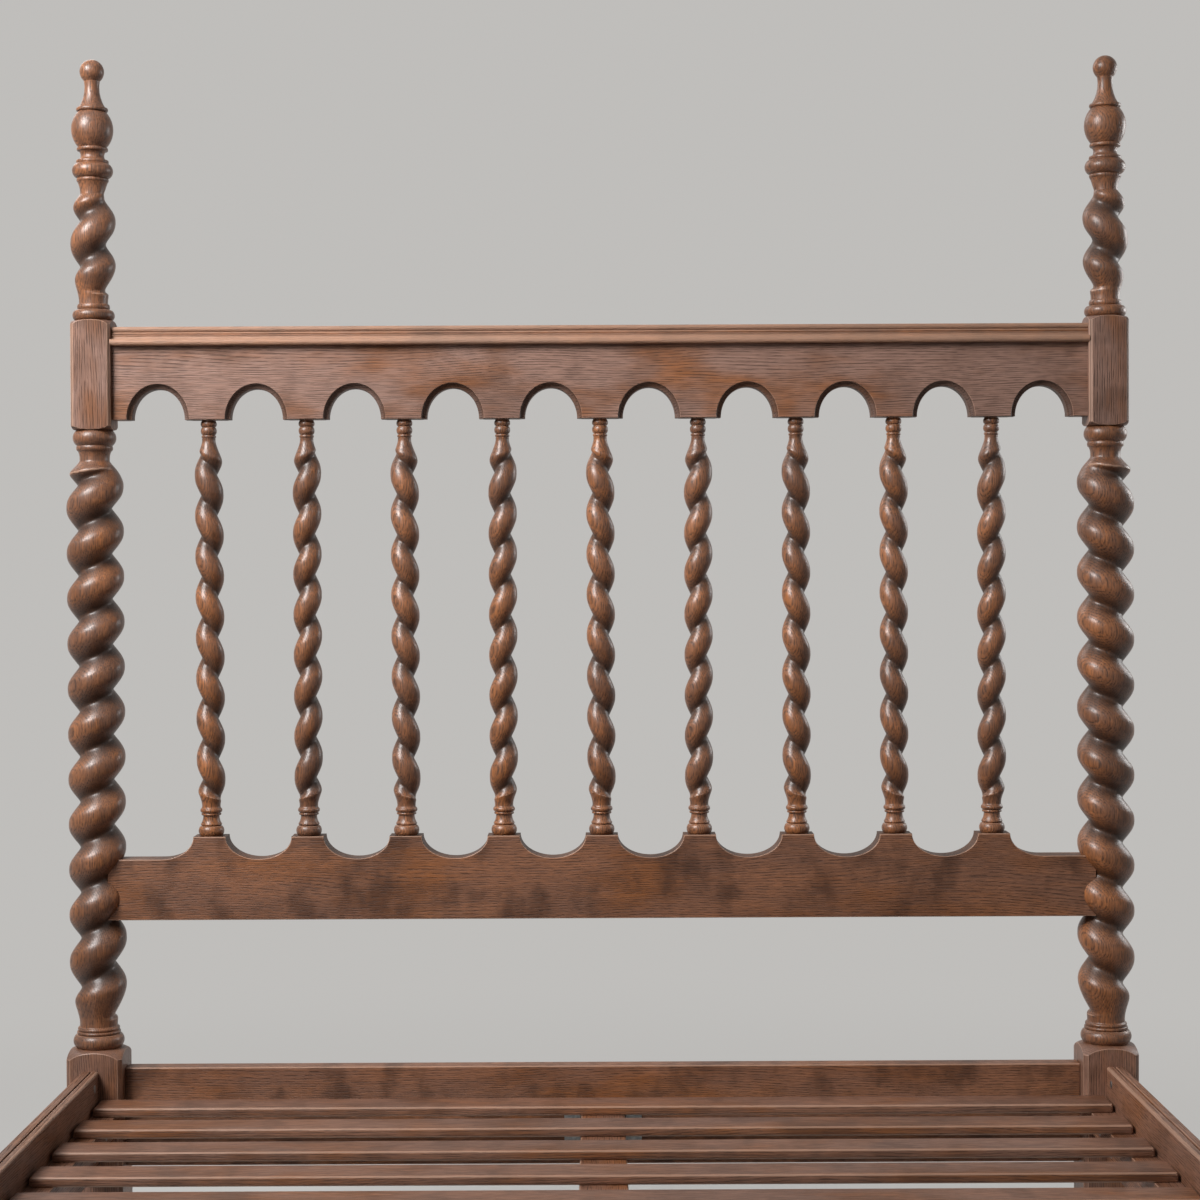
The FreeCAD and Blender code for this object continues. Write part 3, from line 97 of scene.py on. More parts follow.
# The turned shoulders of the square blocks, in millimetres: how far they drop and bulge, and how far outside
# the corners their profiles start; and the chamfer under the legs
LEG_SHOULDER_DROP = 13.0
LEG_SHOULDER_BULGE = 2.2
BLOCK_LOW_DROP = 5.5
BLOCK_HIGH_DROP = 7.0
BLOCK_BULGE_SHARE = 0.25
SHOULDER_CLEARANCE = 0.1
LEG_FOOT_CHAMFER = 3.0

# The kinds of twist, with the columns and the rows in a turn that each is carved with: the long twist of the
# lower posts, the short twist of the upper posts and the twist of the spindles
TWIST_MESH = {"main": (56, 40), "crown": (56, 44), "spindle": (44, 36)}
# How each kind, in that order, leaves its necks, in metres: the plain necks, the stretches over which it
# swells to its full size and how suddenly, where the groove starts and how fast it deepens, how softly it
# breaks the surface, and how far, in radians, the twist lags over a stretch above its foot
RUNOUT = {
    "Low Neck": (0.0283, 0.0216, 0.0139),
    "Low Start": (0.002, 0.0033, 0.0),
    "Low Ease": (0.068, 0.063, 0.034),
    "Low Groove": (0.005, 0.011, -0.006),
    "Low Run": (0.010, 0.009, 0.024),
    "High Neck": (0.0225, 0.0186, 0.0098),
    "High Start": (0.0156, 0.0187, 0.0),
    "High Ease": (0.034, 0.0363, 0.046),
    "High Swell": (0.65, 0.545, 0.9),
    "High Groove": (0.004, -0.006, -0.006),
    "High Run": (0.040, 0.023, 0.032),
    "Flare Length": (0.011, 0.018, 0.004),
    "Flare Radius": (0.0028, 0.004, 0.0005),
    "Break": (0.004, 0.014, 0.0016),
    "Low Break": (0.018, 0.022, 0.005),
    "High Break": (0.015, 0.021, 0.0055),
    "Slack": (1.61, 0.0, 0.0),
    "Slack Length": (0.163, 0.1, 0.1),
}
TWIST_SETTINGS = ("Turns", "Crest", "Groove", "Lead", "Softness")
TWIST_INPUTS = {
    **dict.fromkeys(("X", "Y", "Bottom", "Length", "Hand", *TWIST_SETTINGS, *RUNOUT), "Float"),
    "Columns": "Int", "Rows": "Int", "Finish": "Material",
}
# Where the softness of the run-outs passes to that of the twist, above its foot and below its head
LOW_BREAK_END = (0.04, 0.09)
HIGH_BREAK_END = (0.03, 0.10)
# Where its two values meet, a smooth minimum takes off its distance divided by this
SMOOTH_LOSS = 6.0
# How closely the columns crowd to the bottom of the groove
GROOVE_CROWDING = 0.35

# How finely round shapes are divided
LATHE_SIDES = 96
SPINDLE_SIDES = 64
COVER_SIDES = 40
COVER_ROWS = 6
RECESS_SIDES = 48
ARC_STEP = math.radians(9)
ARCH_STEPS = 28
SCALLOP_STEPS = 20
COVE_STEPS = 6
BEAD_STEPS = 6
EASING_STEPS = 4
FACE_DIVISIONS = 14
CHAMFER_DIVISIONS = 3
SHOULDER_ROWS = 7

# Corners sharper than this are cut off by an arris, of this width or at most this share of a side; faces up
# to a width between two edges sharper than an angle are arrises, painted lighter as wear and as a highlight
SHARP_ANGLE = math.radians(28)
ARRIS = 0.6 * MM
ARRIS_SHARE = 0.4
ARRIS_WIDTH = 1.8 * MM
ARRIS_ANGLE = math.radians(13)
# Lengths too small to count, points that are one, and vertices that are merged
NO_LENGTH = 1e-9
SAME_POINT = 1e-7
MERGED = 1e-6

# Where the wood is cut flat: from one height to another, and how much its grain shows that
ALL_BOARD = (-math.inf, math.inf, 1.0)
ALL_TURNED = (0.0, 0.0, 0.0)
LEG_BOARD = 0.55
# How much darker the chamfers of the upper blocks are painted, and how much painted shade lies in the hollows
# of the headboard's rails
CHAMFER_DARKENING = 0.55
HOLLOW_SHADE = 0.7
# The edge of the bead beside the quirk, across and down, and the depths of the quirk between which painted
# shade lies
BEAD_EDGE = (0.8 * MM, 0.5 * MM)
QUIRK_SHADE = (0.6, 2.0)

# How far heads and covers reach into the wood, the plate of the brackets, and the screws along each ledger;
# then how much of a head's radius its recess reaches, of its rise is a rounded edge, and of its depth in the
# wood the recess goes down
SINK = 1.0 * MM
BRACKET_PLATE = 2.0 * MM
LEDGER_SCREWS = 6
RECESS_REACH = 0.72
HEAD_EDGE = 0.25
RECESS_SINK = 0.5
# The shares of a bolt cover's rise that are its rim and its dome, and how much of the rim is rounded
COVER_RIM = 0.4
COVER_DOME = 0.6
COVER_EDGE = 0.5

# The numbers from which the pieces get their tones and the hardware its turns, from the first of each kind
TONE_NUMBERS = {
    "lower_post": 0, "upper_post": 4, "finial": 8, "spindle": 12, "top_rail": 21, "cap_moulding": 22,
    "lower_rail": 23, "end_rail": 24, "side_rail": 26, "ledger": 28, "centre_beam": 30,
    "bolt_covers": 31, "barrel_nuts": 32, "ledger_screws": 33, "bracket_screws": 34,
}
TONE_STEP = 0.618034
SLAT_SEED = 5

# The oak finishes: the axis of the grain, the greyer stain that also stands in for sheen, and any blots and
# dashes that aren't the usual
OAK_FINISHES = {
    "turned oak": ("Z", 0.15),
    "upright oak": ("Z", -0.2),
    "smoked oak": ("X", 0.15, 0.3),
    "blotted oak": ("X", -0.45, 0.75, 70.0),
    "lengthwise oak": ("Y", -0.35),
    "slat oak": ("X", -0.3),
}
# For each axis of the grain, the object's axes that run across it, through it and along it
GRAIN_ORDER = {"X": "YZX", "Y": "ZXY", "Z": "XYZ"}
# The patterns in the oak: how often they repeat in a metre across and along the grain, their detail, and for
# most the levels of noise between which they come in
OAK_PATTERNS = {
    "drift": (6.0, 1.1, 2.0),
    "ripple": (60.0, 9.0, 2.0),
    "fibre": (640.0, 36.0, 2.0),
    "streaks": (560.0, 36.0, 2.0, 0.44, 0.58),
    "flecks": (520.0, 95.0, 2.0, 0.45, 0.58),
    "cloud": (15.0, 5.0, 3.0, 0.36, 0.66),
    "gleam": (150.0, 11.0, 2.0, 0.44, 0.64),
    "haze": (13.0, 5.5, 3.0, 0.28, 0.58),
    "blot": (11.0, 16.0, 3.0, 0.46, 0.70),
}
NOISE_ROUGHNESS = 0.55
# How much of each layer shows, on turned wood and on a flat board
OAK_LAYERS = {"warmth": (1.0, 0.65), "rings": (0.30, 0.24), "pores": (0.64, 0.54), "wax": (1.0, 0.2)}
# How much more of the greyer stain, which also stands in for sheen, the flat boards take
BOARD_SMOKE_AND_SHEEN = 0.75
CLOUD_WARMTH = 0.65
GLEAM_WARMTH = 0.35
FIBRE_LEVELS = (0.40, 0.64)
FIBRE_SHADE = 0.24
# The painted shade from the groove mark: the levels over which it comes in, and how dark it is
GROOVE_LEVELS = (0.12, 0.95)
GROOVE_SHADE = 0.75
# How much lighter the arrises are painted, as wear and as a painted highlight
ARRIS_WEAR_AND_HIGHLIGHT = 0.45
# How far apart in the log the palest and the darkest pieces lie, and how bright they are
LOG_SPREAD = 3.0
TONE_DARKEST = 0.93
TONE_RANGE = 0.14
# Growth rings: how far the grain wanders, their number in a metre, slant and ripple, the parts of a ring over
# which late wood comes and goes, and how much of the streaks and flecks keeps to it
GRAIN_WANDER = 0.085
RING_COUNT = 400.0
RING_SLANT = 0.7
RING_RIPPLE = 0.003
LATE_WOOD_START = (0.42, 0.78)
LATE_WOOD_END = (0.88, 1.0)
STREAKS_IN_RINGS = 0.75
FLECKS_IN_RINGS = 0.55
# What makes the oak duller, and its relief and polish
PORE_DULL = 0.2
DARKENED_DULL = 0.1
FIBRE_DULL = 0.16
BOARD_DULL = 0.08
FIBRE_RELIEF = 0.3
OAK_BUMP = (0.55, 0.0007)
WAX_ROUGHNESS = 0.32
OAK_SPECULAR = 0.28
# Zinc plating: the repeats in a metre of the drawn grain and the clouds, the levels of the clouds and how dim
# they are, the roughness and its change, and the relief
DRAWN_GRAIN = (90.0, 90.0, 2600.0)
PLATING_CLOUDS = (160.0, 160.0, 160.0)
CLOUD_LEVELS = (0.35, 0.7)
DIM_PLATING = 0.62
STEEL_ROUGHNESS = 0.30
STEEL_DULL = 0.22
STEEL_BUMP = (0.2, 0.0003)

# The studio: brightness of the backdrop, where the floor starts and ends to pass into it, how much of it lies
# over the floor before that, and the floor's size and its drop below the bed
BACKDROP_STRENGTH = 0.78
FLOOR_NEAR = 0.6
FLOOR_FAR = 4.0
FLOOR_LIFT = 0.35
FLOOR_RADIUS = 40.0
FLOOR_SIDES = 96
FLOOR_DROP = 0.0005
# The lamps: where each stands, where it aims, its width and how wide it shines
LAMPS = {
    "key": ((-2.0, -0.7, 3.0), (-0.3, 1.0, 1.35), 1.4, math.radians(100)),
    "fill": ((2.4, -2.6, 1.9), (0.0, 1.0, 1.0), 2.0, math.pi),
    "rim": ((2.9, 2.4, 1.9), (0.2, 1.0, 1.1), 1.2, math.pi),
    "back": ((-1.9, 3.6, 3.6), (0.0, 0.2, 0.6), 1.8, math.pi),
    "top": ((-0.4, 0.1, 4.2), (0.0, 0.3, 0.0), 2.2, math.pi),
    "foot": ((-2.3, -3.0, 1.9), (-0.1, -1.05, 0.75), 1.6, math.pi),
}
SENSOR_WIDTH = 36.0
VIEW_DISTANCE = 200.0


def srgb(red, green, blue):
    """A colour as it looks on a screen, from 0 to 255, in Blender's linear values."""
    levels = (part / 255 for part in (red, green, blue))
    return tuple(
        level / 12.92 if level <= 0.04045 else ((level + 0.055) / 1.055) ** 2.4 for level in levels
    )


def length(name, default, description):
    return FloatProperty(
        name=name, description=description, default=default, min=0.0, unit="LENGTH", precision=4,
    )


def number(name, default, description):
    return FloatProperty(name=name, description=description, default=default)


def turn(name, default, description):
    return FloatProperty(name=name, description=description, default=math.radians(default), unit="ROTATION")


def share(name, default, description):
    return FloatProperty(
        name=name, description=description, default=default, min=0.0, max=1.0, subtype="FACTOR",
    )


def colour(name, default, description):
    return FloatVectorProperty(
        name=name, description=description, default=srgb(*default), size=3, min=0.0, max=1.0, subtype="COLOR",
    )


class PostSizes(bpy.types.PropertyGroup):
    """Sizes of the four posts."""

    leg_height: length("Leg height", 0.427, "Height of the square leg block")
    leg_chamfer: length("Leg chamfer", 0.006, "Chamfer on the upright corners of the leg block")
    block_width: length("Block width", 0.0606, "Width of the square upper block")
    block_chamfer: length("Block chamfer", 0.0045, "Chamfer on the upright corners of the upper block")
    block_height: length("Block height", 0.166, "Height of the square upper block")
    main_turns: number("Main turns", 12.714, "Turns of the long twist")
    main_crest: length("Main crest", 0.0427, "Radius of the long twist over its crest")
    main_groove: length("Main groove", 0.0252, "Radius of the long twist in its groove")
    main_lead: turn("Main lead", 32.6, "Angle at which the crest of the long twist starts")
    crown_turns: number("Crown turns", 2.675, "Turns of the short twist")
    crown_crest: length("Crown crest", 0.0338, "Radius of the short twist over its crest")
    crown_groove: length("Crown groove", 0.0192, "Radius of the short twist in its groove")
    crown_lead: turn("Crown lead", 78.7, "Angle at which the crest of the short twist starts")
    main_softness: number("Main softness", 0.2, "How rounded the groove of the long twist is")
    crown_softness: number("Crown softness", 0.5, "How rounded the groove of the short twist is")


class HeadboardSizes(bpy.types.PropertyGroup):
    """Sizes of the rails and spindles of the headboard."""

    spindle_turns: number("Spindle turns", 9.04, "Turns of a spindle")
    spindle_crest: length("Spindle crest", 0.0216, "Radius of a spindle over its crest")
    spindle_groove: length("Spindle groove", 0.0117, "Radius of a spindle in its groove")
    spindle_lead: turn("Spindle lead", -66.0, "Angle at which the crest of a spindle starts")
    spindle_softness: number("Spindle softness", 0.12, "How rounded the bottom of a spindle's groove is")
    arch_width: length("Arch width", 0.0945, "Width of an arch on the face of the rail")
    arch_height: length("Arch height", 0.054, "Height of an arch on the face of the rail")
    arch_cove: length("Arch cove", 0.007, "Hollow worked along the edges of an arch")
    pad_width: length("Pad width", 0.049, "Width of a pad under a spindle")
    scallop_depth: length("Scallop depth", 0.034, "Depth of the scallops between the pads")
    easing: length("Easing", 0.0014, "How far the edges of the rails are rounded")


class DeckSizes(bpy.types.PropertyGroup):
    """Sizes of the rails, slats and hardware of the bed frame."""

    slat_easing: length("Slat easing", 0.0042, "How far the edges of the slats are rounded")
    rail_easing: length("Rail easing", 0.003, "How far the edges of the rails are rounded")
    bead_width: length("Bead width", 0.0105, "Width of the bead along the side rails")
    bead_radius: length("Bead radius", 0.004, "Rounding of the bead along the side rails")
    quirk_width: length("Quirk width", 0.0034, "Width of the groove beside the bead")
    quirk_depth: length("Quirk depth", 0.0055, "Depth of the groove beside the bead")
    cover_radius: length("Cover radius", 0.00885, "Radius of the bolt covers")
    cover_rise: length("Cover rise", 0.0022, "How far the bolt covers stand out of the posts")
    nut_radius: length("Nut radius", 0.006, "Radius of the barrel nuts")
    nut_slot: length("Nut slot", 0.0016, "Width of the slot in a barrel nut")
    screw_radius: length("Screw radius", 0.005, "Radius of the screw heads")
    cross_width: length("Cross width", 0.0016, "Width of the cross recess in a screw head")
    head_rise: length("Head rise", 0.0006, "How far screw and nut heads stand out of the wood")


class OakFinish(bpy.types.PropertyGroup):
    """Colours and gloss of the stained oak and the steel."""

    honey: colour("Honey", (162, 101, 57), "Warm stain on the best lit wood")
    walnut: colour("Walnut", (108, 67, 41), "Stain over most of the wood")
    umber: colour("Umber", (68, 42, 28), "Dark stain in blots and late rings")
    # The greyer stain also paints the sheen on the flat boards
    smoke_and_sheen: colour("Smoke", (144, 114, 102), "Greyer stain on the flat boards")
    # Also the painted highlight along the arrises
    worn_and_highlight: colour("Worn", (186, 150, 128), "Wood rubbed bare along the arrises")
    # The pore colour is also the painted shade in the grooves, hollows and quirks, and the darker chamfers
    pore_and_shade: colour("Pore", (30, 18, 12), "Stain settled in the pores and grooves")
    steel: colour("Steel", (176, 178, 178), "Zinc plating")
    roughness: share("Roughness", 0.38, "Roughness of the stained surface")
    polish: share("Polish", 0.48, "Weight of the wax polish over the stain")


class StudioSettings(bpy.types.PropertyGroup):
    """Camera, lamps and floor."""

    place: FloatVectorProperty(
        name="Camera", description="Where the camera stands", default=(-0.0044, -2.508, 1.1576),
        size=3, subtype="TRANSLATION", unit="LENGTH",
    )
    lens: number("Lens", 70.21, "Focal length in millimetres on a 36 mm sensor")
    tilt: turn("Tilt", 0.861, "How far the camera looks down")
    swing: turn("Swing", -0.052, "How far the camera looks to the left")
    roll: turn("Roll", -0.252, "How far the camera leans to the left")
    key: number("Key", 58.0, "Power of the soft key lamp, in watts")
    fill: number("Fill", 4.0, "Power of the fill lamp, in watts")
    rim: number("Rim", 26.0, "Power of the rim lamp, in watts")
    back: number("Back", 24.0, "Power of the lamp behind the headboard, in watts")
    top: number("Top", 6.0, "Power of the lamp overhead, in watts")
    foot: number("Foot", 16.0, "Power of the lamp before the foot end, in watts")
    sky: share("Sky", 0.045, "Strength of the light from all round")
    floor: colour("Floor", (214, 212, 209), "Colour of the studio floor and of the backdrop")


def arithmetic(operation):
    """An operator on sockets and its reflected form, each of which adds one Math node."""

    def forward(self, other):
        return self.maths(operation, self, other)

    def reflected(self, other):
        return self.maths(operation, other, self)

    return forward, reflected


class Socket:
    """A node socket with arithmetic. On a bare tree it adds that tree's nodes."""

    __add__, __radd__ = arithmetic("ADD")
    __sub__, __rsub__ = arithmetic("SUBTRACT")
    __mul__, __rmul__ = arithmetic("MULTIPLY")
    __truediv__, __rtruediv__ = arithmetic("DIVIDE")
    __pow__, __rpow__ = arithmetic("POWER")

    def __init__(self, tree, socket=None):
        self.tree = tree
        self.socket = socket

    def add(self, kind, settings=None, sockets=None, output=0):
        """Adds a node: its type, its settings, then the values or links of its sockets."""
        node = self.tree.nodes.new(kind)
        for name, value in (settings or {}).items():
            setattr(node, name, value)
        for name, value in (sockets or {}).items():
            if isinstance(value, Socket):
                self.tree.links.new(value.socket, node.inputs[name])
            else:
                node.inputs[name].default_value = value
        return Socket(self.tree, node.outputs[output] if node.outputs else None)

    def output(self, name):
        """Another output of the same node."""
        return Socket(self.tree, self.socket.node.outputs[name])

    def maths(self, operation, first, second=0.0):
        return self.add("ShaderNodeMath", {"operation": operation}, {0: first, 1: second})

    def sine(self):
        return self.maths("SINE", self)

    def cosine(self):
        return self.maths("COSINE", self)

    def fraction(self):
        return self.maths("FRACT", self)

    def least(self, other):
        return self.maths("MINIMUM", self, other)

    def most(self, other):
        return self.maths("MAXIMUM", self, other)

    def step(self, low, high, bottom=0.0, top=1.0):
        """A smooth step from bottom at low to top at high."""
        return self.add(
            "ShaderNodeMapRange", {"interpolation_type": "SMOOTHSTEP"},
            {"Value": self, "From Min": low, "From Max": high, "To Min": bottom, "To Max": top},
        )


def emptied(owner):
    """The bare node tree of a material or a world, ready for its nodes."""
    owner.use_nodes = True
    owner.node_tree.nodes.clear()
    return Socket(owner.node_tree)


def opaque(tint):
    """A plain colour with full cover, or a socket as it is."""
    return tint if isinstance(tint, Socket) else (*tint, 1.0)


def mixed(here, factor, first, second):
    """Two colours mixed by a factor."""
    return here.add(
        "ShaderNodeMix", {"data_type": "RGBA"}, {0: factor, 6: opaque(first), 7: opaque(second)}, output=2,
    )


def combined(here, x, y, z):
    return here.add("ShaderNodeCombineXYZ", None, {0: x, 1: y, 2: z})


def separated(place):
    """The parts of a place by their axes."""
    axes = place.add("ShaderNodeSeparateXYZ", None, {0: place})
    return {axis: axes.output(axis) for axis in "XYZ"}


def noise(here, place, detail):
    """Soft noise about 0.5 at a scaled place."""
    return here.add(
        "ShaderNodeTexNoise", {"noise_dimensions": "3D"},
        {"Vector": place, "Scale": 1.0, "Detail": detail, "Roughness": NOISE_ROUGHNESS},
    )


def raised(here, height, strength, distance):
    """The normal of a surface raised by a height."""
    sockets = {"Strength": strength, "Distance": distance, "Height": height}
    return here.add("ShaderNodeBump", None, sockets, output="Normal")


def stained_oak(name, grain, smoke_and_sheen, blots=0.4, dashes=36.0):
    """Stained oak whose grain runs along one axis: rings, pores, clouds of stain, painted shade in the
    grooves and hollows, darker chamfers, and arrises painted lighter as wear and as a highlight.

    The smoke share is how far the greyer stain covers it, a stain that also stands in for sheen; blots is how
    dark its blots are, and dashes how many streaks follow each other in a metre. The attribute board is 1 on
    flat faces, where the pores are cut lengthwise.
    """
    finish = bpy.context.scene.bed_finish
    material = bpy.data.materials.new(name)
    here = emptied(material)
    axes = separated(here.add("ShaderNodeTexCoord", output="Object"))
    across, through, along = (axes[axis] for axis in GRAIN_ORDER[grain])
    tone, groove, board, arris = (
        here.add("ShaderNodeAttribute", {"attribute_name": mark}, output="Fac")
        for mark in ("tone", "groove", "board", "arris")
    )

    def pattern(kind, aside, repeats=None):
        """One of the oak's patterns, at a place across the grain."""
        fine, stretched, detail, *levels = OAK_PATTERNS[kind]
        place = combined(here, aside * fine, through * fine, along * (repeats or stretched))
        field = noise(here, place, detail)
        return field.step(*levels) if levels else field

    def shown(layer):
        """How much of a layer shows, from turned wood to a flat board."""
        turned, flat = OAK_LAYERS[layer]
        return turned + board * (flat - turned)

    # Growth rings and pores follow the grain, which wanders along the log
    across = across + tone * LOG_SPREAD
    across = across + (pattern("drift", across) - 0.5) * GRAIN_WANDER
    ripple = pattern("ripple", across) - 0.5
    band = ((across * RING_SLANT + through * RING_SLANT + ripple * RING_RIPPLE) * RING_COUNT).fraction()
    ring = band.step(*LATE_WOOD_START) * band.step(*LATE_WOOD_END, 1.0, 0.0)
    # Pores: streaks along the rings where the board is cut flat, short flecks where it is turned
    streaks = pattern("streaks", across, dashes) * (ring * STREAKS_IN_RINGS + (1 - STREAKS_IN_RINGS))
    flecks = pattern("flecks", across) * (ring * FLECKS_IN_RINGS + (1 - FLECKS_IN_RINGS))
    pores = flecks + (streaks - flecks) * board
    fibre = pattern("fibre", across)

    # Stain: a warm ground, then the grey haze, which also stands in for sheen, the dark blots, and what
    # rings, fibres and pores take up
    warmth = pattern("cloud", across) * CLOUD_WARMTH + pattern("gleam", across) * GLEAM_WARMTH
    tint = mixed(here, warmth * shown("warmth"), finish.walnut, finish.honey)
    layers = (
        (pattern("haze", across) * (board * BOARD_SMOKE_AND_SHEEN + smoke_and_sheen), finish.smoke_and_sheen),
        (pattern("blot", across) * blots, finish.umber),
        (ring * shown("rings"), finish.umber),
        (fibre.step(*FIBRE_LEVELS) * FIBRE_SHADE, finish.umber),
        (pores * shown("pores"), finish.pore_and_shade),
    )
    for amount, stain in layers:
        tint = mixed(here, amount, tint, stain)
    shade = tone * TONE_RANGE + TONE_DARKEST
    tint = here.add("ShaderNodeHueSaturation", None, {"Value": shade, "Color": tint})
    # Painted shade in the grooves, hollows and quirks, and darker chamfers on the upper blocks, all from the
    # groove mark
    settled = groove.step(*GROOVE_LEVELS)
    tint = mixed(here, settled * GROOVE_SHADE, tint, finish.pore_and_shade)
    # Arrises painted lighter, as wear and as a painted highlight along the edges
    tint = mixed(here, arris * (1.0 - settled) * ARRIS_WEAR_AND_HIGHLIGHT, tint, finish.worn_and_highlight)

    dull = (
        finish.roughness + pores * PORE_DULL + settled * DARKENED_DULL
        + (fibre - 0.5) * FIBRE_DULL + board * BOARD_DULL
    )
    wood = here.add("ShaderNodeBsdfPrincipled", None, {
        "Base Color": tint, "Roughness": dull,
        "Normal": raised(here, fibre * FIBRE_RELIEF - pores, *OAK_BUMP),
        "Coat Weight": finish.polish * shown("wax"), "Coat Roughness": WAX_ROUGHNESS,
        "Specular IOR Level": OAK_SPECULAR,
    })
    here.add("ShaderNodeOutputMaterial", None, {"Surface": wood})
    return material


def zinc_steel(name):
    """Zinc-plated steel with a fine drawn grain and cloudy plating."""
    finish = bpy.context.scene.bed_finish
    material = bpy.data.materials.new(name)
    here = emptied(material)
    axes = separated(here.add("ShaderNodeTexCoord", output="Object")).values()

    def pattern(repeats, detail):
        return noise(here, combined(here, *(axis * many for axis, many in zip(axes, repeats))), detail)

    drawn = pattern(DRAWN_GRAIN, 2.0)
    cloudy = pattern(PLATING_CLOUDS, 3.0).step(*CLOUD_LEVELS)
    dim = [DIM_PLATING * part for part in finish.steel]
    metal = here.add("ShaderNodeBsdfPrincipled", None, {
        "Base Color": mixed(here, cloudy, dim, finish.steel), "Metallic": 1.0,
        "Roughness": STEEL_ROUGHNESS + drawn * STEEL_DULL, "Normal": raised(here, drawn, *STEEL_BUMP),
    })
    here.add("ShaderNodeOutputMaterial", None, {"Surface": metal})
    return material


def finish_of(name):
    """A finish by name, made the first time that it is asked for."""
    found = bpy.data.materials.get(name)
    if found:
        return found
    return stained_oak(name, *OAK_FINISHES[name]) if name in OAK_FINISHES else zinc_steel(name)


def begun(name, inputs):
    """A new geometry tree, ready for its nodes, and its inputs by name."""
    tree = bpy.data.node_groups.new(name, "GeometryNodeTree")
    for title, kind in inputs.items():
        tree.interface.new_socket(title, in_out="INPUT", socket_type="NodeSocket" + kind)
    tree.interface.new_socket("Geometry", in_out="OUTPUT", socket_type="NodeSocketGeometry")
    here = Socket(tree)
    given = here.add("NodeGroupInput")
    return here, {title: given.output(title) for title in inputs}


def ended(here, geometry, finish):
    """Ends a tree with its instances made real and its finish on."""
    whole = here.add("GeometryNodeRealizeInstances", None, {"Geometry": geometry})
    dressed = here.add("GeometryNodeSetMaterial", None, {"Geometry": whole, "Material": finish})
    here.add("NodeGroupOutput", None, {0: dressed})
    return here.tree


def twist_tree(name):
    """A barley twist by its rule: a turned envelope cut by one groove that climbs round it."""
    here, size = begun(name, TWIST_INPUTS)
    tube = here.add(
        "GeometryNodeMeshCylinder", {"fill_type": "NONE"},
        {"Vertices": size["Columns"], "Side Segments": size["Rows"], "Radius": 1.0, "Depth": 1.0},
    )
    spot = separated(here.add("GeometryNodeInputPosition"))
    base = here.maths("ARCTAN2", spot["Y"], spot["X"])
    climb = spot["Z"] + 0.5
    up = climb * size["Length"]
    down = size["Length"] - up

    # The turned envelope, from neck to neck, with the height back that the soft break takes off the crest
    soft_break = (
        size["Break"] + (size["Low Break"] - size["Break"]) * up.step(*LOW_BREAK_END, 1.0, 0.0)
        + (size["High Break"] - size["Break"]) * down.step(*HIGH_BREAK_END, 1.0, 0.0)
    )
    crest = size["Crest"] + soft_break / SMOOTH_LOSS
    low = up.step(size["Low Start"], size["Low Start"] + size["Low Ease"])
    high = down.step(size["High Start"], size["High Start"] + size["High Ease"]) ** size["High Swell"]
    flare = (1.0 - down / size["Flare Length"]).most(0.0)
    envelope = (
        crest - (crest - size["Low Neck"]) * (1.0 - low)
        - (crest - size["High Neck"]) * (1.0 - high) + size["Flare Radius"] * flare * flare
    )
    # The groove between full strands, with more columns set near its bottom, running out over the necks
    around = base + base.sine() * GROOVE_CROWDING
    soft = size["Softness"]
    strand = (around * 0.5).cosine()
    whole_strand = (soft * soft + 1.0) ** 0.5 - soft
    full = ((strand * strand + soft * soft) ** 0.5 - soft) / whole_strand
    depth = crest - size["Groove"]
    run = (
        up.step(size["Low Groove"], size["Low Groove"] + size["Low Run"])
        * down.step(size["High Groove"], size["High Groove"] + size["High Run"])
    )
    cut = size["Groove"] + depth * full + depth * (1.0 - run)
    radius = here.add("ShaderNodeMath", {"operation": "SMOOTH_MIN"}, {0: envelope, 1: cut, 2: soft_break})
    slack = (1.0 - up / size["Slack Length"]).most(0.0)
    angle = around + size["Lead"] + size["Turns"] * climb * (2 * math.pi) + size["Slack"] * slack * slack

    # How deep each point lies in the groove: the mark from which the material paints shade into the groove
    sunk = ((envelope - radius) / depth).most(0.0)
    marked = here.add(
        "GeometryNodeStoreNamedAttribute", {"data_type": "FLOAT", "domain": "POINT"},
        {"Geometry": tube, "Name": "groove", "Value": sunk},
    )
    place = combined(
        here, size["X"] + radius * angle.cosine() * size["Hand"], size["Y"] + radius * angle.sine(),
        size["Bottom"] + up,
    )
    carved = here.add("GeometryNodeSetPosition", None, {"Geometry": marked, "Position": place})
    # A twist of the other hand is a mirror image, so its faces are turned outwards again
    mirrored = here.maths("LESS_THAN", size["Hand"], 0.0)
    outward = here.add("GeometryNodeFlipFaces", None, {"Mesh": carved, "Selection": mirrored})
    return ended(here, outward, size["Finish"])


def row_tree(name):
    """One shape set out along a line of even steps, each copy with its own tone."""
    here, given = begun(name, {
        "Shape": "Object", "Count": "Int", "First": "Vector", "Step": "Vector", "Seed": "Int",
        "Finish": "Material",
    })
    line = here.add(
        "GeometryNodeMeshLine", {"mode": "OFFSET"},
        {"Count": given["Count"], "Start Location": given["First"], "Offset": given["Step"]},
    )
    shape = here.add("GeometryNodeObjectInfo", None, {"Object": given["Shape"]}, output="Geometry")
    copies = here.add("GeometryNodeInstanceOnPoints", None, {"Points": line, "Instance": shape})
    lot = here.add("FunctionNodeRandomValue", {"data_type": "FLOAT"}, {"Seed": given["Seed"]}, output=1)
    toned = here.add(
        "GeometryNodeStoreNamedAttribute", {"data_type": "FLOAT", "domain": "INSTANCE"},
        {"Geometry": copies, "Name": "tone", "Value": lot},
    )
    return ended(here, toned, given["Finish"])


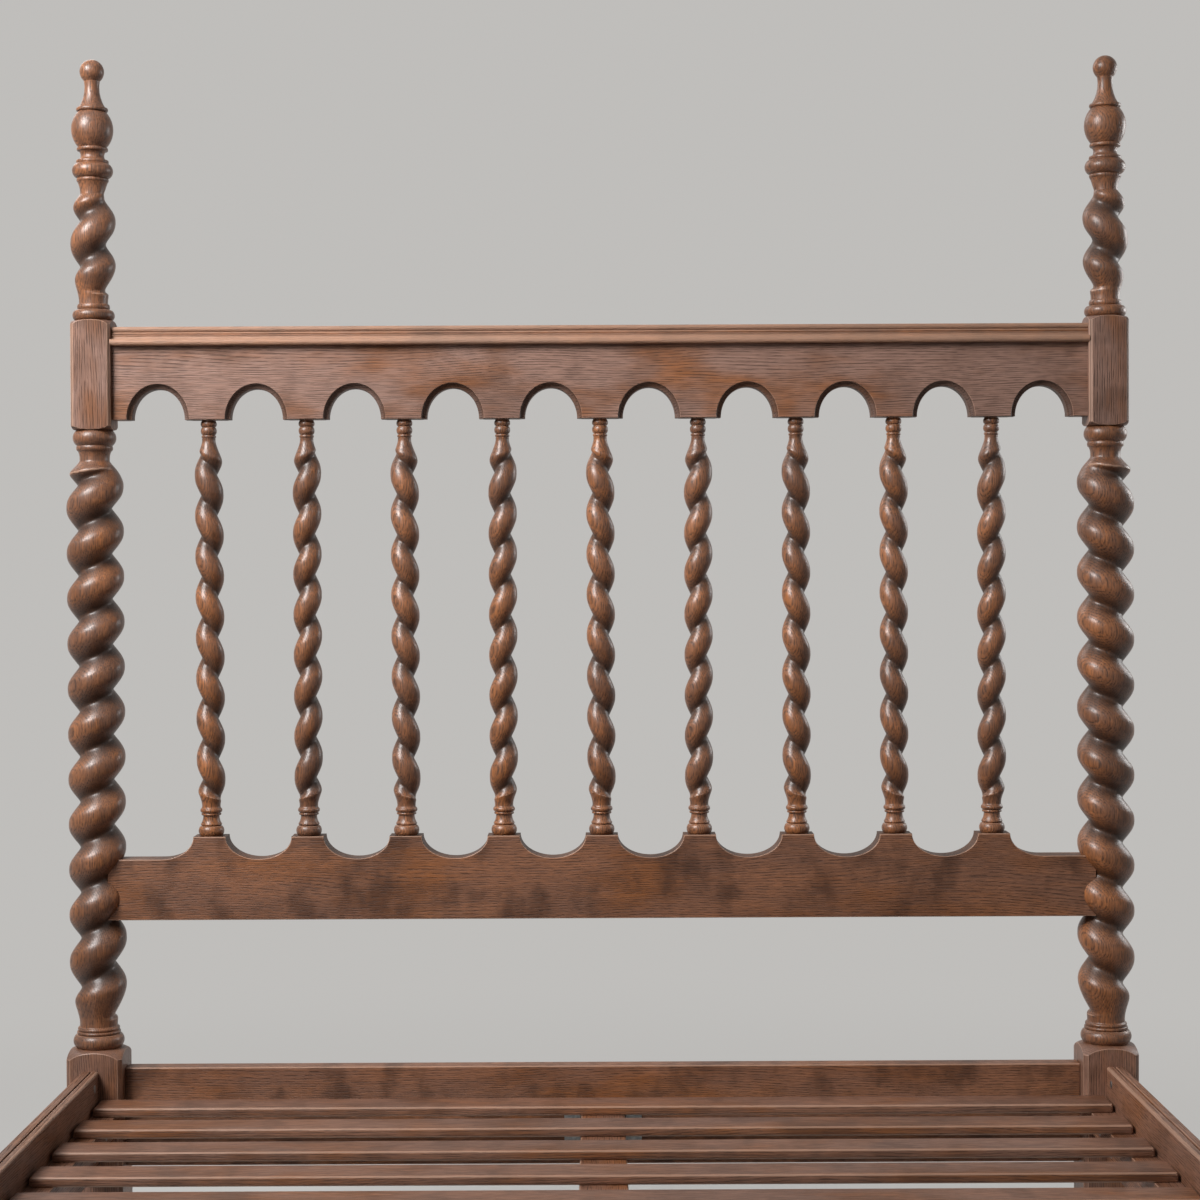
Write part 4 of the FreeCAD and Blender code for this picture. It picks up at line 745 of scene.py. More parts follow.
def spread_tree(name):
    """One shape set out on points, each copy turned to its point's own way."""
    here, given = begun(name, {"Points": "Geometry", "Shape": "Object", "Seed": "Int", "Finish": "Material"})
    way = here.add("GeometryNodeInputNamedAttribute", {"data_type": "FLOAT_VECTOR"}, {"Name": "way"})
    facing = here.add("FunctionNodeAlignRotationToVector", {"axis": "Z"}, {"Vector": way})
    driven = here.add(
        "FunctionNodeRandomValue", {"data_type": "FLOAT"},
        {"Min": 0.0, "Max": math.pi, "Seed": given["Seed"]}, output=1,
    )
    spin = here.add("FunctionNodeAxisAngleToRotation", None, {"Axis": (0.0, 0.0, 1.0), "Angle": driven})
    turned = here.add("FunctionNodeRotateRotation", {"rotation_space": "LOCAL"}, {0: facing, 1: spin})
    shape = here.add("GeometryNodeObjectInfo", None, {"Object": given["Shape"]}, output="Geometry")
    copies = here.add("GeometryNodeInstanceOnPoints", None, {
        "Points": given["Points"], "Instance": shape, "Rotation": turned,
    })
    return ended(here, copies, given["Finish"])


TREES = {"Barley twist": twist_tree, "Set out in a row": row_tree, "Set out on points": spread_tree}


def placed(name, data):
    """A new object in the scene."""
    thing = bpy.data.objects.new(name, data)
    bpy.context.scene.collection.objects.link(thing)
    return thing


def worked_out(thing):
    """The plain mesh of an object with its modifiers worked out."""
    depsgraph = bpy.context.evaluated_depsgraph_get()
    return bpy.data.meshes.new_from_object(
        thing.evaluated_get(depsgraph), preserve_all_data_layers=True, depsgraph=depsgraph,
    )


def grown(name, sizes, ground=None):
    """The plain mesh that a tree makes with the given inputs, on a ground mesh where it needs one."""
    tree = bpy.data.node_groups.get(name) or TREES[name](name)
    seed = placed("seed", ground or bpy.data.meshes.new("seed"))
    modifier = seed.modifiers.new("tree", "NODES")
    modifier.node_group = tree
    for item in tree.interface.items_tree:
        if item.in_out == "INPUT" and item.socket_type != "NodeSocketGeometry":
            modifier[item.identifier] = sizes[item.name]
    mesh = worked_out(seed)
    bpy.data.objects.remove(seed)
    return mesh


def arc_points(start, end, bulge):
    """Points after start along an arc in a plane; a bulge above 0 swells to the right of the way."""
    run = end - start
    chord = run.length
    if not bulge or chord < NO_LENGTH:
        return [end]
    sagitta = abs(bulge)
    bend = 1 if bulge > 0 else -1
    radius = (chord * chord / 4 + sagitta * sagitta) / (2 * sagitta)
    outward = Vector((run.y, -run.x)).normalized() * bend
    centre = (start + end) / 2 + outward * (sagitta - radius)
    sweep = 4 * math.atan(2 * sagitta / chord) * bend
    count = max(3, math.ceil(abs(sweep) / ARC_STEP))
    first = math.atan2(start.y - centre.y, start.x - centre.x)
    angles = [first + sweep * i / count for i in range(1, count + 1)]
    return [centre + radius * Vector((math.cos(angle), math.sin(angle))) for angle in angles]


def profile(steps, bottom, start=None):
    """Points (radius, height) in metres along a profile in millimetres.

    It starts at the radius that its first step reaches, unless another is given.
    """
    points = [Vector(((steps[0][1] if start is None else start) * MM, bottom))]
    for rise, reached, bulge in steps:
        end = Vector((reached * MM, points[-1].y + rise * MM))
        points += arc_points(points[-1], end, bulge * MM)
    return softened(points)


def rise_of(steps):
    return sum(step[0] for step in steps) * MM


def softened(points, closed=False):
    """A profile with its sharp corners cut off by an arris."""
    soft = []
    last = len(points) - 1
    for i, point in enumerate(points):
        if not closed and i in (0, last):
            soft.append(point)
            continue
        before = points[i - 1] - point
        after = points[(i + 1) % len(points)] - point
        if before.length < SAME_POINT:
            continue
        if after.length < SAME_POINT or math.pi - before.angle(after) < SHARP_ANGLE:
            soft.append(point)
            continue
        for side in (before, after):
            soft.append(point + side.normalized() * min(ARRIS, ARRIS_SHARE * side.length))
    return soft


def even_angles(count):
    return [2 * math.pi * i / count for i in range(count)]


def quarter(steps):
    """Sines and cosines in even steps over a quarter turn."""
    angles = [math.pi / 2 * i / steps for i in range(steps + 1)]
    return [(math.sin(angle), math.cos(angle)) for angle in angles]


def lathe_rings(points, angles, axis):
    """Rings of a turned shape about an upright axis."""
    return [
        [Vector((axis.x + point.x * math.cos(a), axis.y + point.x * math.sin(a), point.y)) for a in angles]
        for point in points
    ]


def stack(bm, rings):
    """Joins rings of points into a skin and returns the first and last rows of vertices."""
    rows = [[bm.verts.new(point) for point in ring] for ring in rings]
    for lower, upper in zip(rows, rows[1:]):
        for i in range(len(lower)):
            j = (i + 1) % len(lower)
            bm.faces.new((lower[i], lower[j], upper[j], upper[i]))
    return rows[0], rows[-1]


def turned_skin(points, sides, axis):
    """A turned shape with a flat bottom that closes in a point at its top."""
    bm = bmesh.new()
    bottom = stack(bm, lathe_rings(points, even_angles(sides), axis))[0]
    bm.faces.new(bottom)
    return bm


def closed_skin(loops):
    """A skin over loops of points, its ends closed with triangles because they may bend inwards."""
    bm = bmesh.new()
    ends = [bm.faces.new(row) for row in stack(bm, loops)]
    for end in ends:
        end.normal_update()
    bmesh.ops.triangulate(bm, faces=ends)
    return bm


def ring_edges(bm, row):
    return [bm.edges.get((row[i], row[(i + 1) % len(row)])) for i in range(len(row))]


def twist_shell(twist, below, above):
    """One closed skin: rings below, the carved twist, and rings above or a flat end."""
    bm = bmesh.new()
    bm.from_mesh(twist)
    bpy.data.meshes.remove(twist)
    open_edges = [edge for edge in bm.edges if edge.is_boundary]
    middle = sum(edge.verts[0].co.z for edge in open_edges) / len(open_edges)
    low = [edge for edge in open_edges if edge.verts[0].co.z < middle]
    high = [edge for edge in open_edges if edge.verts[0].co.z > middle]
    first, last = stack(bm, below)
    bmesh.ops.bridge_loops(bm, edges=ring_edges(bm, last) + low)
    bm.faces.new(first)
    if above:
        first, last = stack(bm, above)
        bmesh.ops.bridge_loops(bm, edges=ring_edges(bm, first) + high)
        bm.faces.new(last)
    else:
        bmesh.ops.contextual_create(bm, geom=high)
    return bm


def chamfered_square(width, chamfer):
    """Points round a square with chamfered corners, with each arris softened."""
    half = width / 2
    flat = half - chamfer
    corners = [
        Vector(corner) for corner in (
            (half, -flat), (half, flat), (flat, half), (-flat, half),
            (-half, flat), (-half, -flat), (-flat, -half), (flat, -half),
        )
    ]
    points = []
    for i, start in enumerate(corners):
        end = corners[(i + 1) % len(corners)]
        soft = (end - start).normalized() * ARRIS
        count = FACE_DIVISIONS if i % 2 == 0 else CHAMFER_DIVISIONS
        points += [(start + soft).lerp(end - soft, k / count) for k in range(count + 1)]
    return points


def outside_of(outline):
    """A radius just outside the corners of an outline, in millimetres."""
    return max(point.length for point in outline) / MM + SHOULDER_CLEARANCE


def outline_angles(outline):
    return [math.atan2(point.y, point.x) for point in outline]


def shoulder_part(points, radius):
    """The stretch of a shoulder's profile that lies inside a radius, in even rows from the outside."""
    inside = [point for point in points if point.x < radius]
    outside = [point for point in points if point.x >= radius]
    a = outside[-1] if outside else inside[0]
    b = inside[0]
    across = a.x - b.x
    start = a.lerp(b, (a.x - radius) / across) if across > NO_LENGTH else b
    way = [start] + inside
    steps = [0.0]
    for p, q in zip(way, way[1:]):
        steps.append(steps[-1] + (q - p).length)
    rows = []
    for k in range(SHOULDER_ROWS + 1):
        goal = steps[-1] * k / SHOULDER_ROWS
        i = max(j for j in range(len(steps)) if steps[j] <= goal + 1e-12)
        if i == len(way) - 1:
            rows.append(way[-1])
            continue
        rows.append(way[i].lerp(way[i + 1], (goal - steps[i]) / (steps[i + 1] - steps[i])))
    return rows


def shoulder_rings(outline, points, axis, face_way):
    """Rings from the face of a square block over its turned shoulder; face_way points back along the face."""
    columns = [shoulder_part(points, point.length) for point in outline]
    rings = [[
        Vector((axis.x + point.x, axis.y + point.y, rows[0].y + face_way * ARRIS))
        for point, rows in zip(outline, columns)
    ]]
    for rows in columns:
        arris = min(1.0, ARRIS / max(ARRIS, (rows[1] - rows[0]).length))
        rows[0] = rows[0].lerp(rows[1], arris)
    for k in range(SHOULDER_ROWS + 1):
        ring = []
        for point, rows in zip(outline, columns):
            way = point.normalized()
            ring.append(Vector((axis.x + way.x * rows[k].x, axis.y + way.y * rows[k].x, rows[k].y)))
        rings.append(ring)
    return rings


def piece_from(bm, name, finish, tone, board=ALL_BOARD, darkening_at=None):
    """Turns a finished skin into a piece at the origin, with its normals outwards and arrises marked for wear
    and a painted highlight.

    board gives the heights between which the wood is cut flat, not turned, and how much its grain shows that,
    and darkening_at how dark a place is painted: painted shade in hollows and quirks, darker chamfers.
    """
    bmesh.ops.remove_doubles(bm, verts=bm.verts, dist=MERGED)
    bmesh.ops.recalc_face_normals(bm, faces=bm.faces)
    toned = bm.verts.layers.float.new("tone")
    flat = bm.verts.layers.float.new("board")
    worn_and_highlight = bm.faces.layers.float.new("arris")
    # The groove mark also takes the painted shade and the darkening of each place
    if darkening_at:
        groove = bm.verts.layers.float.get("groove") or bm.verts.layers.float.new("groove")
        for vertex in bm.verts:
            vertex[groove] = max(vertex[groove], darkening_at(vertex.co))
    low, high, flatness = board
    for vertex in bm.verts:
        vertex[toned] = tone
        vertex[flat] = flatness if low <= vertex.co.z <= high else 0.0
    for face in bm.faces:
        face.smooth = True
        face.material_index = 0
        # Narrow faces between two bends are arrises, painted lighter as wear and as a highlight
        narrow = face.calc_area() < ARRIS_WIDTH * max(edge.calc_length() for edge in face.edges)
        joined = [edge for edge in face.edges if len(edge.link_faces) == 2]
        bends = sum(edge.calc_face_angle_signed() > ARRIS_ANGLE for edge in joined)
        face[worn_and_highlight] = float(narrow and bends >= 2)
    for edge in bm.edges:
        edge.smooth = len(edge.link_faces) == 2 and edge.calc_face_angle() < SHARP_ANGLE
    mesh = bpy.data.meshes.new(name)
    bm.to_mesh(mesh)
    bm.free()
    return piece_of(mesh, name, finish)


def piece_of(mesh, name, finish):
    """A piece at the origin whose large faces stay flat in the light, beside their rounded edges."""
    mesh.materials.clear()
    mesh.materials.append(finish_of(finish))
    piece = placed(name, mesh)
    modifier = piece.modifiers.new("flat faces", "WEIGHTED_NORMAL")
    modifier.keep_sharp = True
    even = worked_out(piece)
    piece.modifiers.clear()
    piece.data = even
    bpy.data.meshes.remove(mesh)
    even.name = name
    return piece


def seat(piece, finish, *nodes):
    """Puts a piece in place of the frame's nodes, on the bed's body; its finish is not used."""
    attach(piece, FRAME_BODY)
    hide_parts(*nodes)


def fit(bm, name, finish, tone, node, board=ALL_BOARD, darkening_at=None):
    """Makes a piece from a finished skin and seats it in place of a node."""
    seat(piece_from(bm, name, finish, tone, board, darkening_at), finish, node)


def tone_of(kind, index=0):
    """A tone from 0 to 1 for a piece, well apart from its neighbours' tones."""
    return (TONE_NUMBERS[kind] + index) * TONE_STEP % 1.0


def middle_of(node):
    low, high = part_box(node)
    return (low + high) / 2


def carve(kind, axis, bottom, top, hand):
    """Mesh of one twist of the given kind between two heights."""
    scene = bpy.context.scene
    settings = scene.bed_headboard if kind == "spindle" else scene.bed_posts
    sizes = {name: getattr(settings, "%s_%s" % (kind, name.lower())) for name in TWIST_SETTINGS}
    column = list(TWIST_MESH).index(kind)
    columns, rows_per_turn = TWIST_MESH[kind]
    return grown("Barley twist", {
        "X": axis.x, "Y": axis.y, "Bottom": bottom, "Length": top - bottom, "Hand": float(hand),
        "Columns": columns, "Rows": math.ceil(sizes["Turns"] * rows_per_turn),
        "Finish": finish_of("turned oak"), **sizes, **{name: row[column] for name, row in RUNOUT.items()},
    })


class BED_OT_lower_posts(bpy.types.Operator):
    """Carve the four lower posts: leg block, turned foot, long twist and collar."""

    bl_idname = "bed.lower_posts"
    bl_label = "Lower posts"

    def execute(self, context):
        post = context.scene.bed_posts
        foot = post.leg_height
        for index, (corner, side) in enumerate(CORNERS.items()):
            node = "lower_post_" + corner
            low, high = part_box(node)
            axis = middle_of(node)
            width = high.x - low.x
            outline = chamfered_square(width, post.leg_chamfer)
            shoulder = profile(
                [(LEG_SHOULDER_DROP, FOOT_TURNING[0][1], LEG_SHOULDER_BULGE)],
                foot - LEG_SHOULDER_DROP * MM, outside_of(outline),
            )
            foot_share = 1 - 2 * LEG_FOOT_CHAMFER * MM / width
            rings = [
                [Vector((axis.x + p.x * foot_share, axis.y + p.y * foot_share, 0.0)) for p in outline],
                [Vector((axis.x + p.x, axis.y + p.y, LEG_FOOT_CHAMFER * MM)) for p in outline],
            ]
            rings += shoulder_rings(outline, shoulder, axis, -1)
            rings += lathe_rings(profile(FOOT_TURNING, foot), outline_angles(outline), axis)
            twist_top = high.z - rise_of(COLLAR_TURNING)
            twist = carve("main", axis, foot + rise_of(FOOT_TURNING), twist_top, -side)
            collar = lathe_rings(profile(COLLAR_TURNING, twist_top), even_angles(LATHE_SIDES), axis)
            fit(
                twist_shell(twist, rings, collar), "carved_post_" + corner, "turned oak",
                tone_of("lower_post", index), node, (0.0, foot - ARRIS, LEG_BOARD),
            )
        return {"FINISHED"}


class BED_OT_upper_posts(bpy.types.Operator):
    """Carve the four upper posts: square block, turned ring and short twist."""

    bl_idname = "bed.upper_posts"
    bl_label = "Upper posts"

    def execute(self, context):
        post = context.scene.bed_posts
        outline = chamfered_square(post.block_width, post.block_chamfer)
        wide = outside_of(outline)
        flat = post.block_width / 2 - post.block_chamfer + ARRIS
        for index, (corner, side) in enumerate(CORNERS.items()):
            node = "upper_post_" + corner
            axis = middle_of(node)
            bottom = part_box("lower_post_" + corner)[1].z
            top = bottom + post.block_height
            below = [(BLOCK_LOW_DROP, COLLAR_TURNING[-1][1], BLOCK_LOW_DROP * BLOCK_BULGE_SHARE)]
            above = [(BLOCK_HIGH_DROP, CROWN_TURNING[0][1], BLOCK_HIGH_DROP * BLOCK_BULGE_SHARE)]
            under = profile(below, 0.0, wide)
            under = [Vector((point.x, bottom + BLOCK_LOW_DROP * MM - point.y)) for point in under]
            over = profile(above, top - BLOCK_HIGH_DROP * MM, wide)
            rings = list(reversed(shoulder_rings(outline, under, axis, 1)))
            rings += shoulder_rings(outline, over, axis, -1)
            rings += lathe_rings(profile(CROWN_TURNING, top), outline_angles(outline), axis)
            twist = carve("crown", axis, top + rise_of(CROWN_TURNING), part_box(node)[1].z, -side)

            def on_chamfer(place):
                """Darker paint on the chamfers of the block."""
                inside = bottom < place.z < top and min(abs(place.x - axis.x), abs(place.y - axis.y)) > flat
                return CHAMFER_DARKENING if inside else 0.0

            fit(
                twist_shell(twist, rings, []), "carved_crown_" + corner, "turned oak",
                tone_of("upper_post", index), node, (bottom + ARRIS, top - ARRIS, 1.0), on_chamfer,
            )
        return {"FINISHED"}


class BED_OT_finials(bpy.types.Operator):
    """Turn the four finials: torus, cove, vase, neck and ball."""

    bl_idname = "bed.finials"
    bl_label = "Finials"

    def execute(self, context):
        for index, corner in enumerate(CORNERS):
            node = "finial_" + corner
            points = profile(FINIAL_TURNING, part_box("upper_post_" + corner)[1].z)
            bm = turned_skin(points, LATHE_SIDES, middle_of(node))
            fit(bm, "turned_finial_" + corner, "turned oak", tone_of("finial", index), node, ALL_TURNED)
        return {"FINISHED"}


class BED_OT_spindles(bpy.types.Operator):
    """Carve the nine spindles of the headboard."""

    bl_idname = "bed.spindles"
    bl_label = "Spindles"

    def execute(self, context):
        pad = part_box("lower_rail")[1].z
        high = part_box("top_rail")[0].z - rise_of(SPINDLE_HEAD_TURNING)
        angles = even_angles(SPINDLE_SIDES)
        for index, (node, hand) in enumerate(zip(SPINDLES, SPINDLE_HANDS)):
            axis = middle_of(node)
            foot = lathe_rings(profile(SPINDLE_FOOT_TURNING, pad), angles, axis)
            head = lathe_rings(profile(SPINDLE_HEAD_TURNING, high), angles, axis)
            twist = carve("spindle", axis, pad + rise_of(SPINDLE_FOOT_TURNING), high, hand)
            bm = twist_shell(twist, foot, head)
            fit(bm, "twist_" + node, "turned oak", tone_of("spindle", index), node, ALL_TURNED)
        return {"FINISHED"}


def slab(outline, layers):
    """A board cut to an outline in X and Z; outline gives its points for each (Y, settings) layer."""
    return closed_skin([[Vector((x, y, z)) for x, z in outline(*settings)] for y, *settings in layers])


def rounded_layers(front, back, easing):
    """(Y, inset) of the layers of a board whose edges are rounded on both faces."""
    arc = reversed(quarter(EASING_STEPS))
    layers = [(front + easing * (1 - sine), easing * (1 - cosine)) for sine, cosine in arc]
    return layers + [(back - (y - front), inset) for y, inset in reversed(layers)]


def spindle_row():
    """Where the spindles stand across the bed, and their pitch."""
    places = [middle_of(node).x for node in SPINDLES]
    return places, places[1] - places[0]


class BED_OT_headboard_rails(bpy.types.Operator):
    """Cut the arcaded top rail, its cap moulding and the scalloped lower rail."""

    bl_idname = "bed.headboard_rails"
    bl_label = "Headboard rails"

    def execute(self, context):
        scene = context.scene
        # The top rail and its cap run just into the upper blocks
        end = middle_of("upper_post_head_right").x - scene.bed_posts.block_width / 2 + SINK
        self.arcade(scene.bed_headboard, end)
        self.cap(end)
        self.scallops(scene.bed_headboard)
        return {"FINISHED"}

    def arcade(self, board, end):
        low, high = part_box("top_rail")
        spindle_xs, pitch = spindle_row()
        arch_xs = [spindle_xs[0] - pitch / 2] + [x + pitch / 2 for x in spindle_xs]
        cove = board.arch_cove

        def outline(cut, inset):
            half = board.arch_width / 2 - cut
            rise = board.arch_height - cut - inset
            bottom = low.z + inset
            points = [(-end, bottom)]
            for x in arch_xs:
                for i in range(ARCH_STEPS + 1):
                    angle = math.pi * (1 - i / ARCH_STEPS)
                    points.append((x + half * math.cos(angle), bottom + rise * math.sin(angle)))
            return points + [(end, bottom), (end, high.z), (-end, high.z)]

        # From the face inwards: how deep, how far the arch is cut back, and how far the rail's foot is eased
        near = [(0.0, -ARRIS / 2, ARRIS)]
        near += [(ARRIS + cove * sine, cove * (1 - cosine), 0.0) for sine, cosine in quarter(COVE_STEPS)]
        near.append((cove + 3 * ARRIS, cove + ARRIS, 0.0))
        layers = [(low.y + y, cut, inset) for y, cut, inset in near]
        layers += [(high.y - y, cut, inset) for y, cut, inset in reversed(near)]

        def in_hollow(place):
            """Painted shade in the hollows of the arches and under the rail."""
            deep = low.y + 1.5 * ARRIS < place.y < high.y - 1.5 * ARRIS
            inside = deep and place.z < high.z - ARRIS and abs(place.x) < end - ARRIS
            return HOLLOW_SHADE if inside else 0.0

        bm = slab(outline, layers)
        fit(bm, "arcaded_rail", "smoked oak", tone_of("top_rail"), "top_rail", darkening_at=in_hollow)

    def cap(self, end):
        low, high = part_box("cap_moulding")
        y = (low.y + high.y) / 2
        half = profile(CAP_PROFILE, low.z)
        outline = [(y - p.x, p.y) for p in reversed(half)] + [(y + p.x, p.y) for p in half]
        bm = closed_skin([[Vector((x, across, up)) for across, up in outline] for x in (-end, end)])
        fit(bm, "cap_mould", "blotted oak", tone_of("cap_moulding"), "cap_moulding")

    def scallops(self, board):
        low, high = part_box("lower_rail")
        spindle_xs, pitch = spindle_row()
        depth = board.scallop_depth
        valley = high.z - depth

        def outline(inset):
            pad = board.pad_width / 2 - inset
            half = pitch / 2 - pad
            curve = [
                (pad + half * (1 - cosine), high.z - inset - depth * sine)
                for sine, cosine in quarter(SCALLOP_STEPS)
            ]
            points = [(low.x, low.z + inset), (low.x, valley - inset)]
            for x in spindle_xs:
                points += [(x - across, up) for across, up in reversed(curve)]
                points += [(x + across, up) for across, up in curve]
            return points + [(high.x, valley - inset), (high.x, low.z + inset)]

        def on_top(place):
            """Painted shade in the scallops, behind their rounded edges."""
            deep = low.y + 0.9 * board.easing < place.y < high.y - 0.9 * board.easing
            inside = deep and place.z > valley - ARRIS and abs(place.x) < high.x - ARRIS
            return HOLLOW_SHADE if inside else 0.0

        bm = slab(outline, rounded_layers(low.y, high.y, board.easing))
        fit(bm, "scalloped_rail", "blotted oak", tone_of("lower_rail"), "lower_rail", darkening_at=on_top)


def eased_bar(low, high, easing):
    """A bar between two corners with rounded edges."""
    bm = bmesh.new()
    bmesh.ops.create_cube(bm, size=1.0)
    for vertex in bm.verts:
        vertex.co = Vector(h if c > 0 else l for l, h, c in zip(low, high, vertex.co))
    bmesh.ops.bevel(
        bm, geom=list(bm.edges), offset=easing, offset_type="OFFSET", segments=EASING_STEPS, profile=0.5,
        affect="EDGES", clamp_overlap=True,
    )
    return bm


class BED_OT_bed_rails(bpy.types.Operator):
    """Plane the head and foot rails, the beaded side rails, the ledgers and the centre beam."""

    bl_idname = "bed.bed_rails"
    bl_label = "Bed rails"

    def execute(self, context):
        deck = context.scene.bed_deck
        for index, end in enumerate(("head", "foot")):
            node = end + "_rail"
            low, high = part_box(node)
            low.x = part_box("lower_post_%s_left" % end)[1].x
            high.x = -low.x
            bar = eased_bar(low, high, deck.rail_easing)
            fit(bar, "eased_" + node, "blotted oak", tone_of("end_rail", index), node)
        for index, side in enumerate(SIDES):
            self.side_rail(deck, side, tone_of("side_rail", index))
            node = "ledger_" + side
            bar = eased_bar(*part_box(node), deck.rail_easing / 2)
            fit(bar, "ledger_strip_" + side, "lengthwise oak", tone_of("ledger", index), node)
        bar = eased_bar(*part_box("centre_beam"), deck.rail_easing)
        fit(bar, "deck_beam", "lengthwise oak", tone_of("centre_beam"), "centre_beam")
        return {"FINISHED"}

    def side_rail(self, deck, side, tone):
        node = "side_rail_" + side
        low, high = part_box(node)
        way = SIDES[side]
        inner = inner_face(node, way).x
        thick = high.x - low.x
        height = high.z - low.z
        bead = deck.bead_radius
        near = deck.bead_width
        far = near + deck.quirk_width
        edge_width, edge_drop = BEAD_EDGE
        # From the inner face over the bead and the quirk to the outer face
        shape = [
            Vector((bead * (1 - cosine), height - bead * (1 - sine))) for sine, cosine in quarter(BEAD_STEPS)
        ]
        shape += [
            Vector((near - edge_width, height)), Vector((near, height - edge_drop)),
            Vector((near + deck.quirk_width / 2, height - deck.quirk_depth)), Vector((far, height)),
            Vector((thick, height)), Vector((thick, 0.0)), Vector((0.0, 0.0)),
        ]
        shape = softened(shape, closed=True)
        bm = closed_skin(
            [[Vector((inner + way * p.x, y, low.z + p.y)) for p in shape] for y in (low.y, high.y)]
        )
        sunk, lowest = (high.z - depth * deck.quirk_depth for depth in QUIRK_SHADE)

        def in_quirk(place):
            """Painted shade at the bottom of the quirk."""
            return float(lowest < place.z < sunk and near < abs(place.x - inner) < far)

        fit(bm, "beaded_rail_" + side, "lengthwise oak", tone, node, darkening_at=in_quirk)


class BED_OT_slats(bpy.types.Operator):
    """Set out the slats of the deck."""

    bl_idname = "bed.slats"
    bl_label = "Slats"

    def execute(self, context):
        low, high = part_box(SLATS[0])
        first = middle_of(SLATS[0])
        last = middle_of(SLATS[-1])
        half = (high - low) / 2
        bar = eased_bar(-half, half, context.scene.bed_deck.slat_easing)
        slat = piece_from(bar, "slat_pattern", "slat oak", 0.0)
        mesh = grown("Set out in a row", {
            "Shape": slat, "Count": len(SLATS), "First": first, "Step": (last - first) / (len(SLATS) - 1),
            "Seed": SLAT_SEED, "Finish": finish_of("slat oak"),
        })
        bpy.data.objects.remove(slat)
        seat(piece_of(mesh, "deck_slats", "slat oak"), "slat oak", *SLATS)
        return {"FINISHED"}


def points_mesh(places):
    """Loose points, each with the way that the shape on it faces."""
    mesh = bpy.data.meshes.new("places")
    mesh.from_pydata([place for place, way in places], [], [])
    ways = mesh.attributes.new("way", "FLOAT_VECTOR", "POINT")
    for row, (place, way) in zip(ways.data, places):
        row.vector = way
    return mesh


def inner_face(node, way):
    """The corner of a node's box on its face towards the middle of the bed; way is the side it lies on.

    With the other way it is the corner on the face that looks out.
    """
    low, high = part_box(node)
    return high if way < 0 else low


def inset(low, high, margin):
    return low + margin, high - margin


def turned_head(radius, rise, dome):
    """A low turned head at the origin that faces up: a rounded edge and a top that swells by dome."""
    edge = min(rise, radius) * COVER_EDGE
    flat = radius - edge
    points = [Vector((radius, -SINK)), Vector((radius, rise - edge)), Vector((flat, rise))]
    for i in range(1, COVER_ROWS + 1):
        inner = flat * (1 - i / COVER_ROWS)
        points.append(Vector((inner, rise + dome * (1 - (inner / flat) ** 2))))
    return turned_skin(points, COVER_SIDES, Vector((0.0, 0.0, 0.0)))


def driven_head(radius, rise, arms, arm_width):
    """A flat head at the origin that faces up, with a slot of one arm or a cross of two cut through it."""
    angles = even_angles(RECESS_SIDES)
    reach = radius * RECESS_REACH
    half = arm_width / 2

    def recess(angle):
        """How far the recess reaches from the centre in that direction."""
        best = half
        for k in range(arms):
            turned = angle - math.pi * k / arms
            aside = abs(math.sin(turned))
            limit = reach / max(abs(math.cos(turned)), 1e-6)
            best = max(best, min(half / aside, limit) if aside > half / reach else limit)
        return best

    def ring(size, height):
        return [Vector((size(a) * math.cos(a), size(a) * math.sin(a), height)) for a in angles]

    edge = HEAD_EDGE * rise
    bm = bmesh.new()
    rows = stack(bm, [
        ring(lambda a: radius, -SINK), ring(lambda a: radius, rise - edge),
        ring(lambda a: radius - edge, rise), ring(recess, rise), ring(recess, -SINK * RECESS_SINK),
    ])
    for row in rows:
        bm.faces.new(row)
    return bm


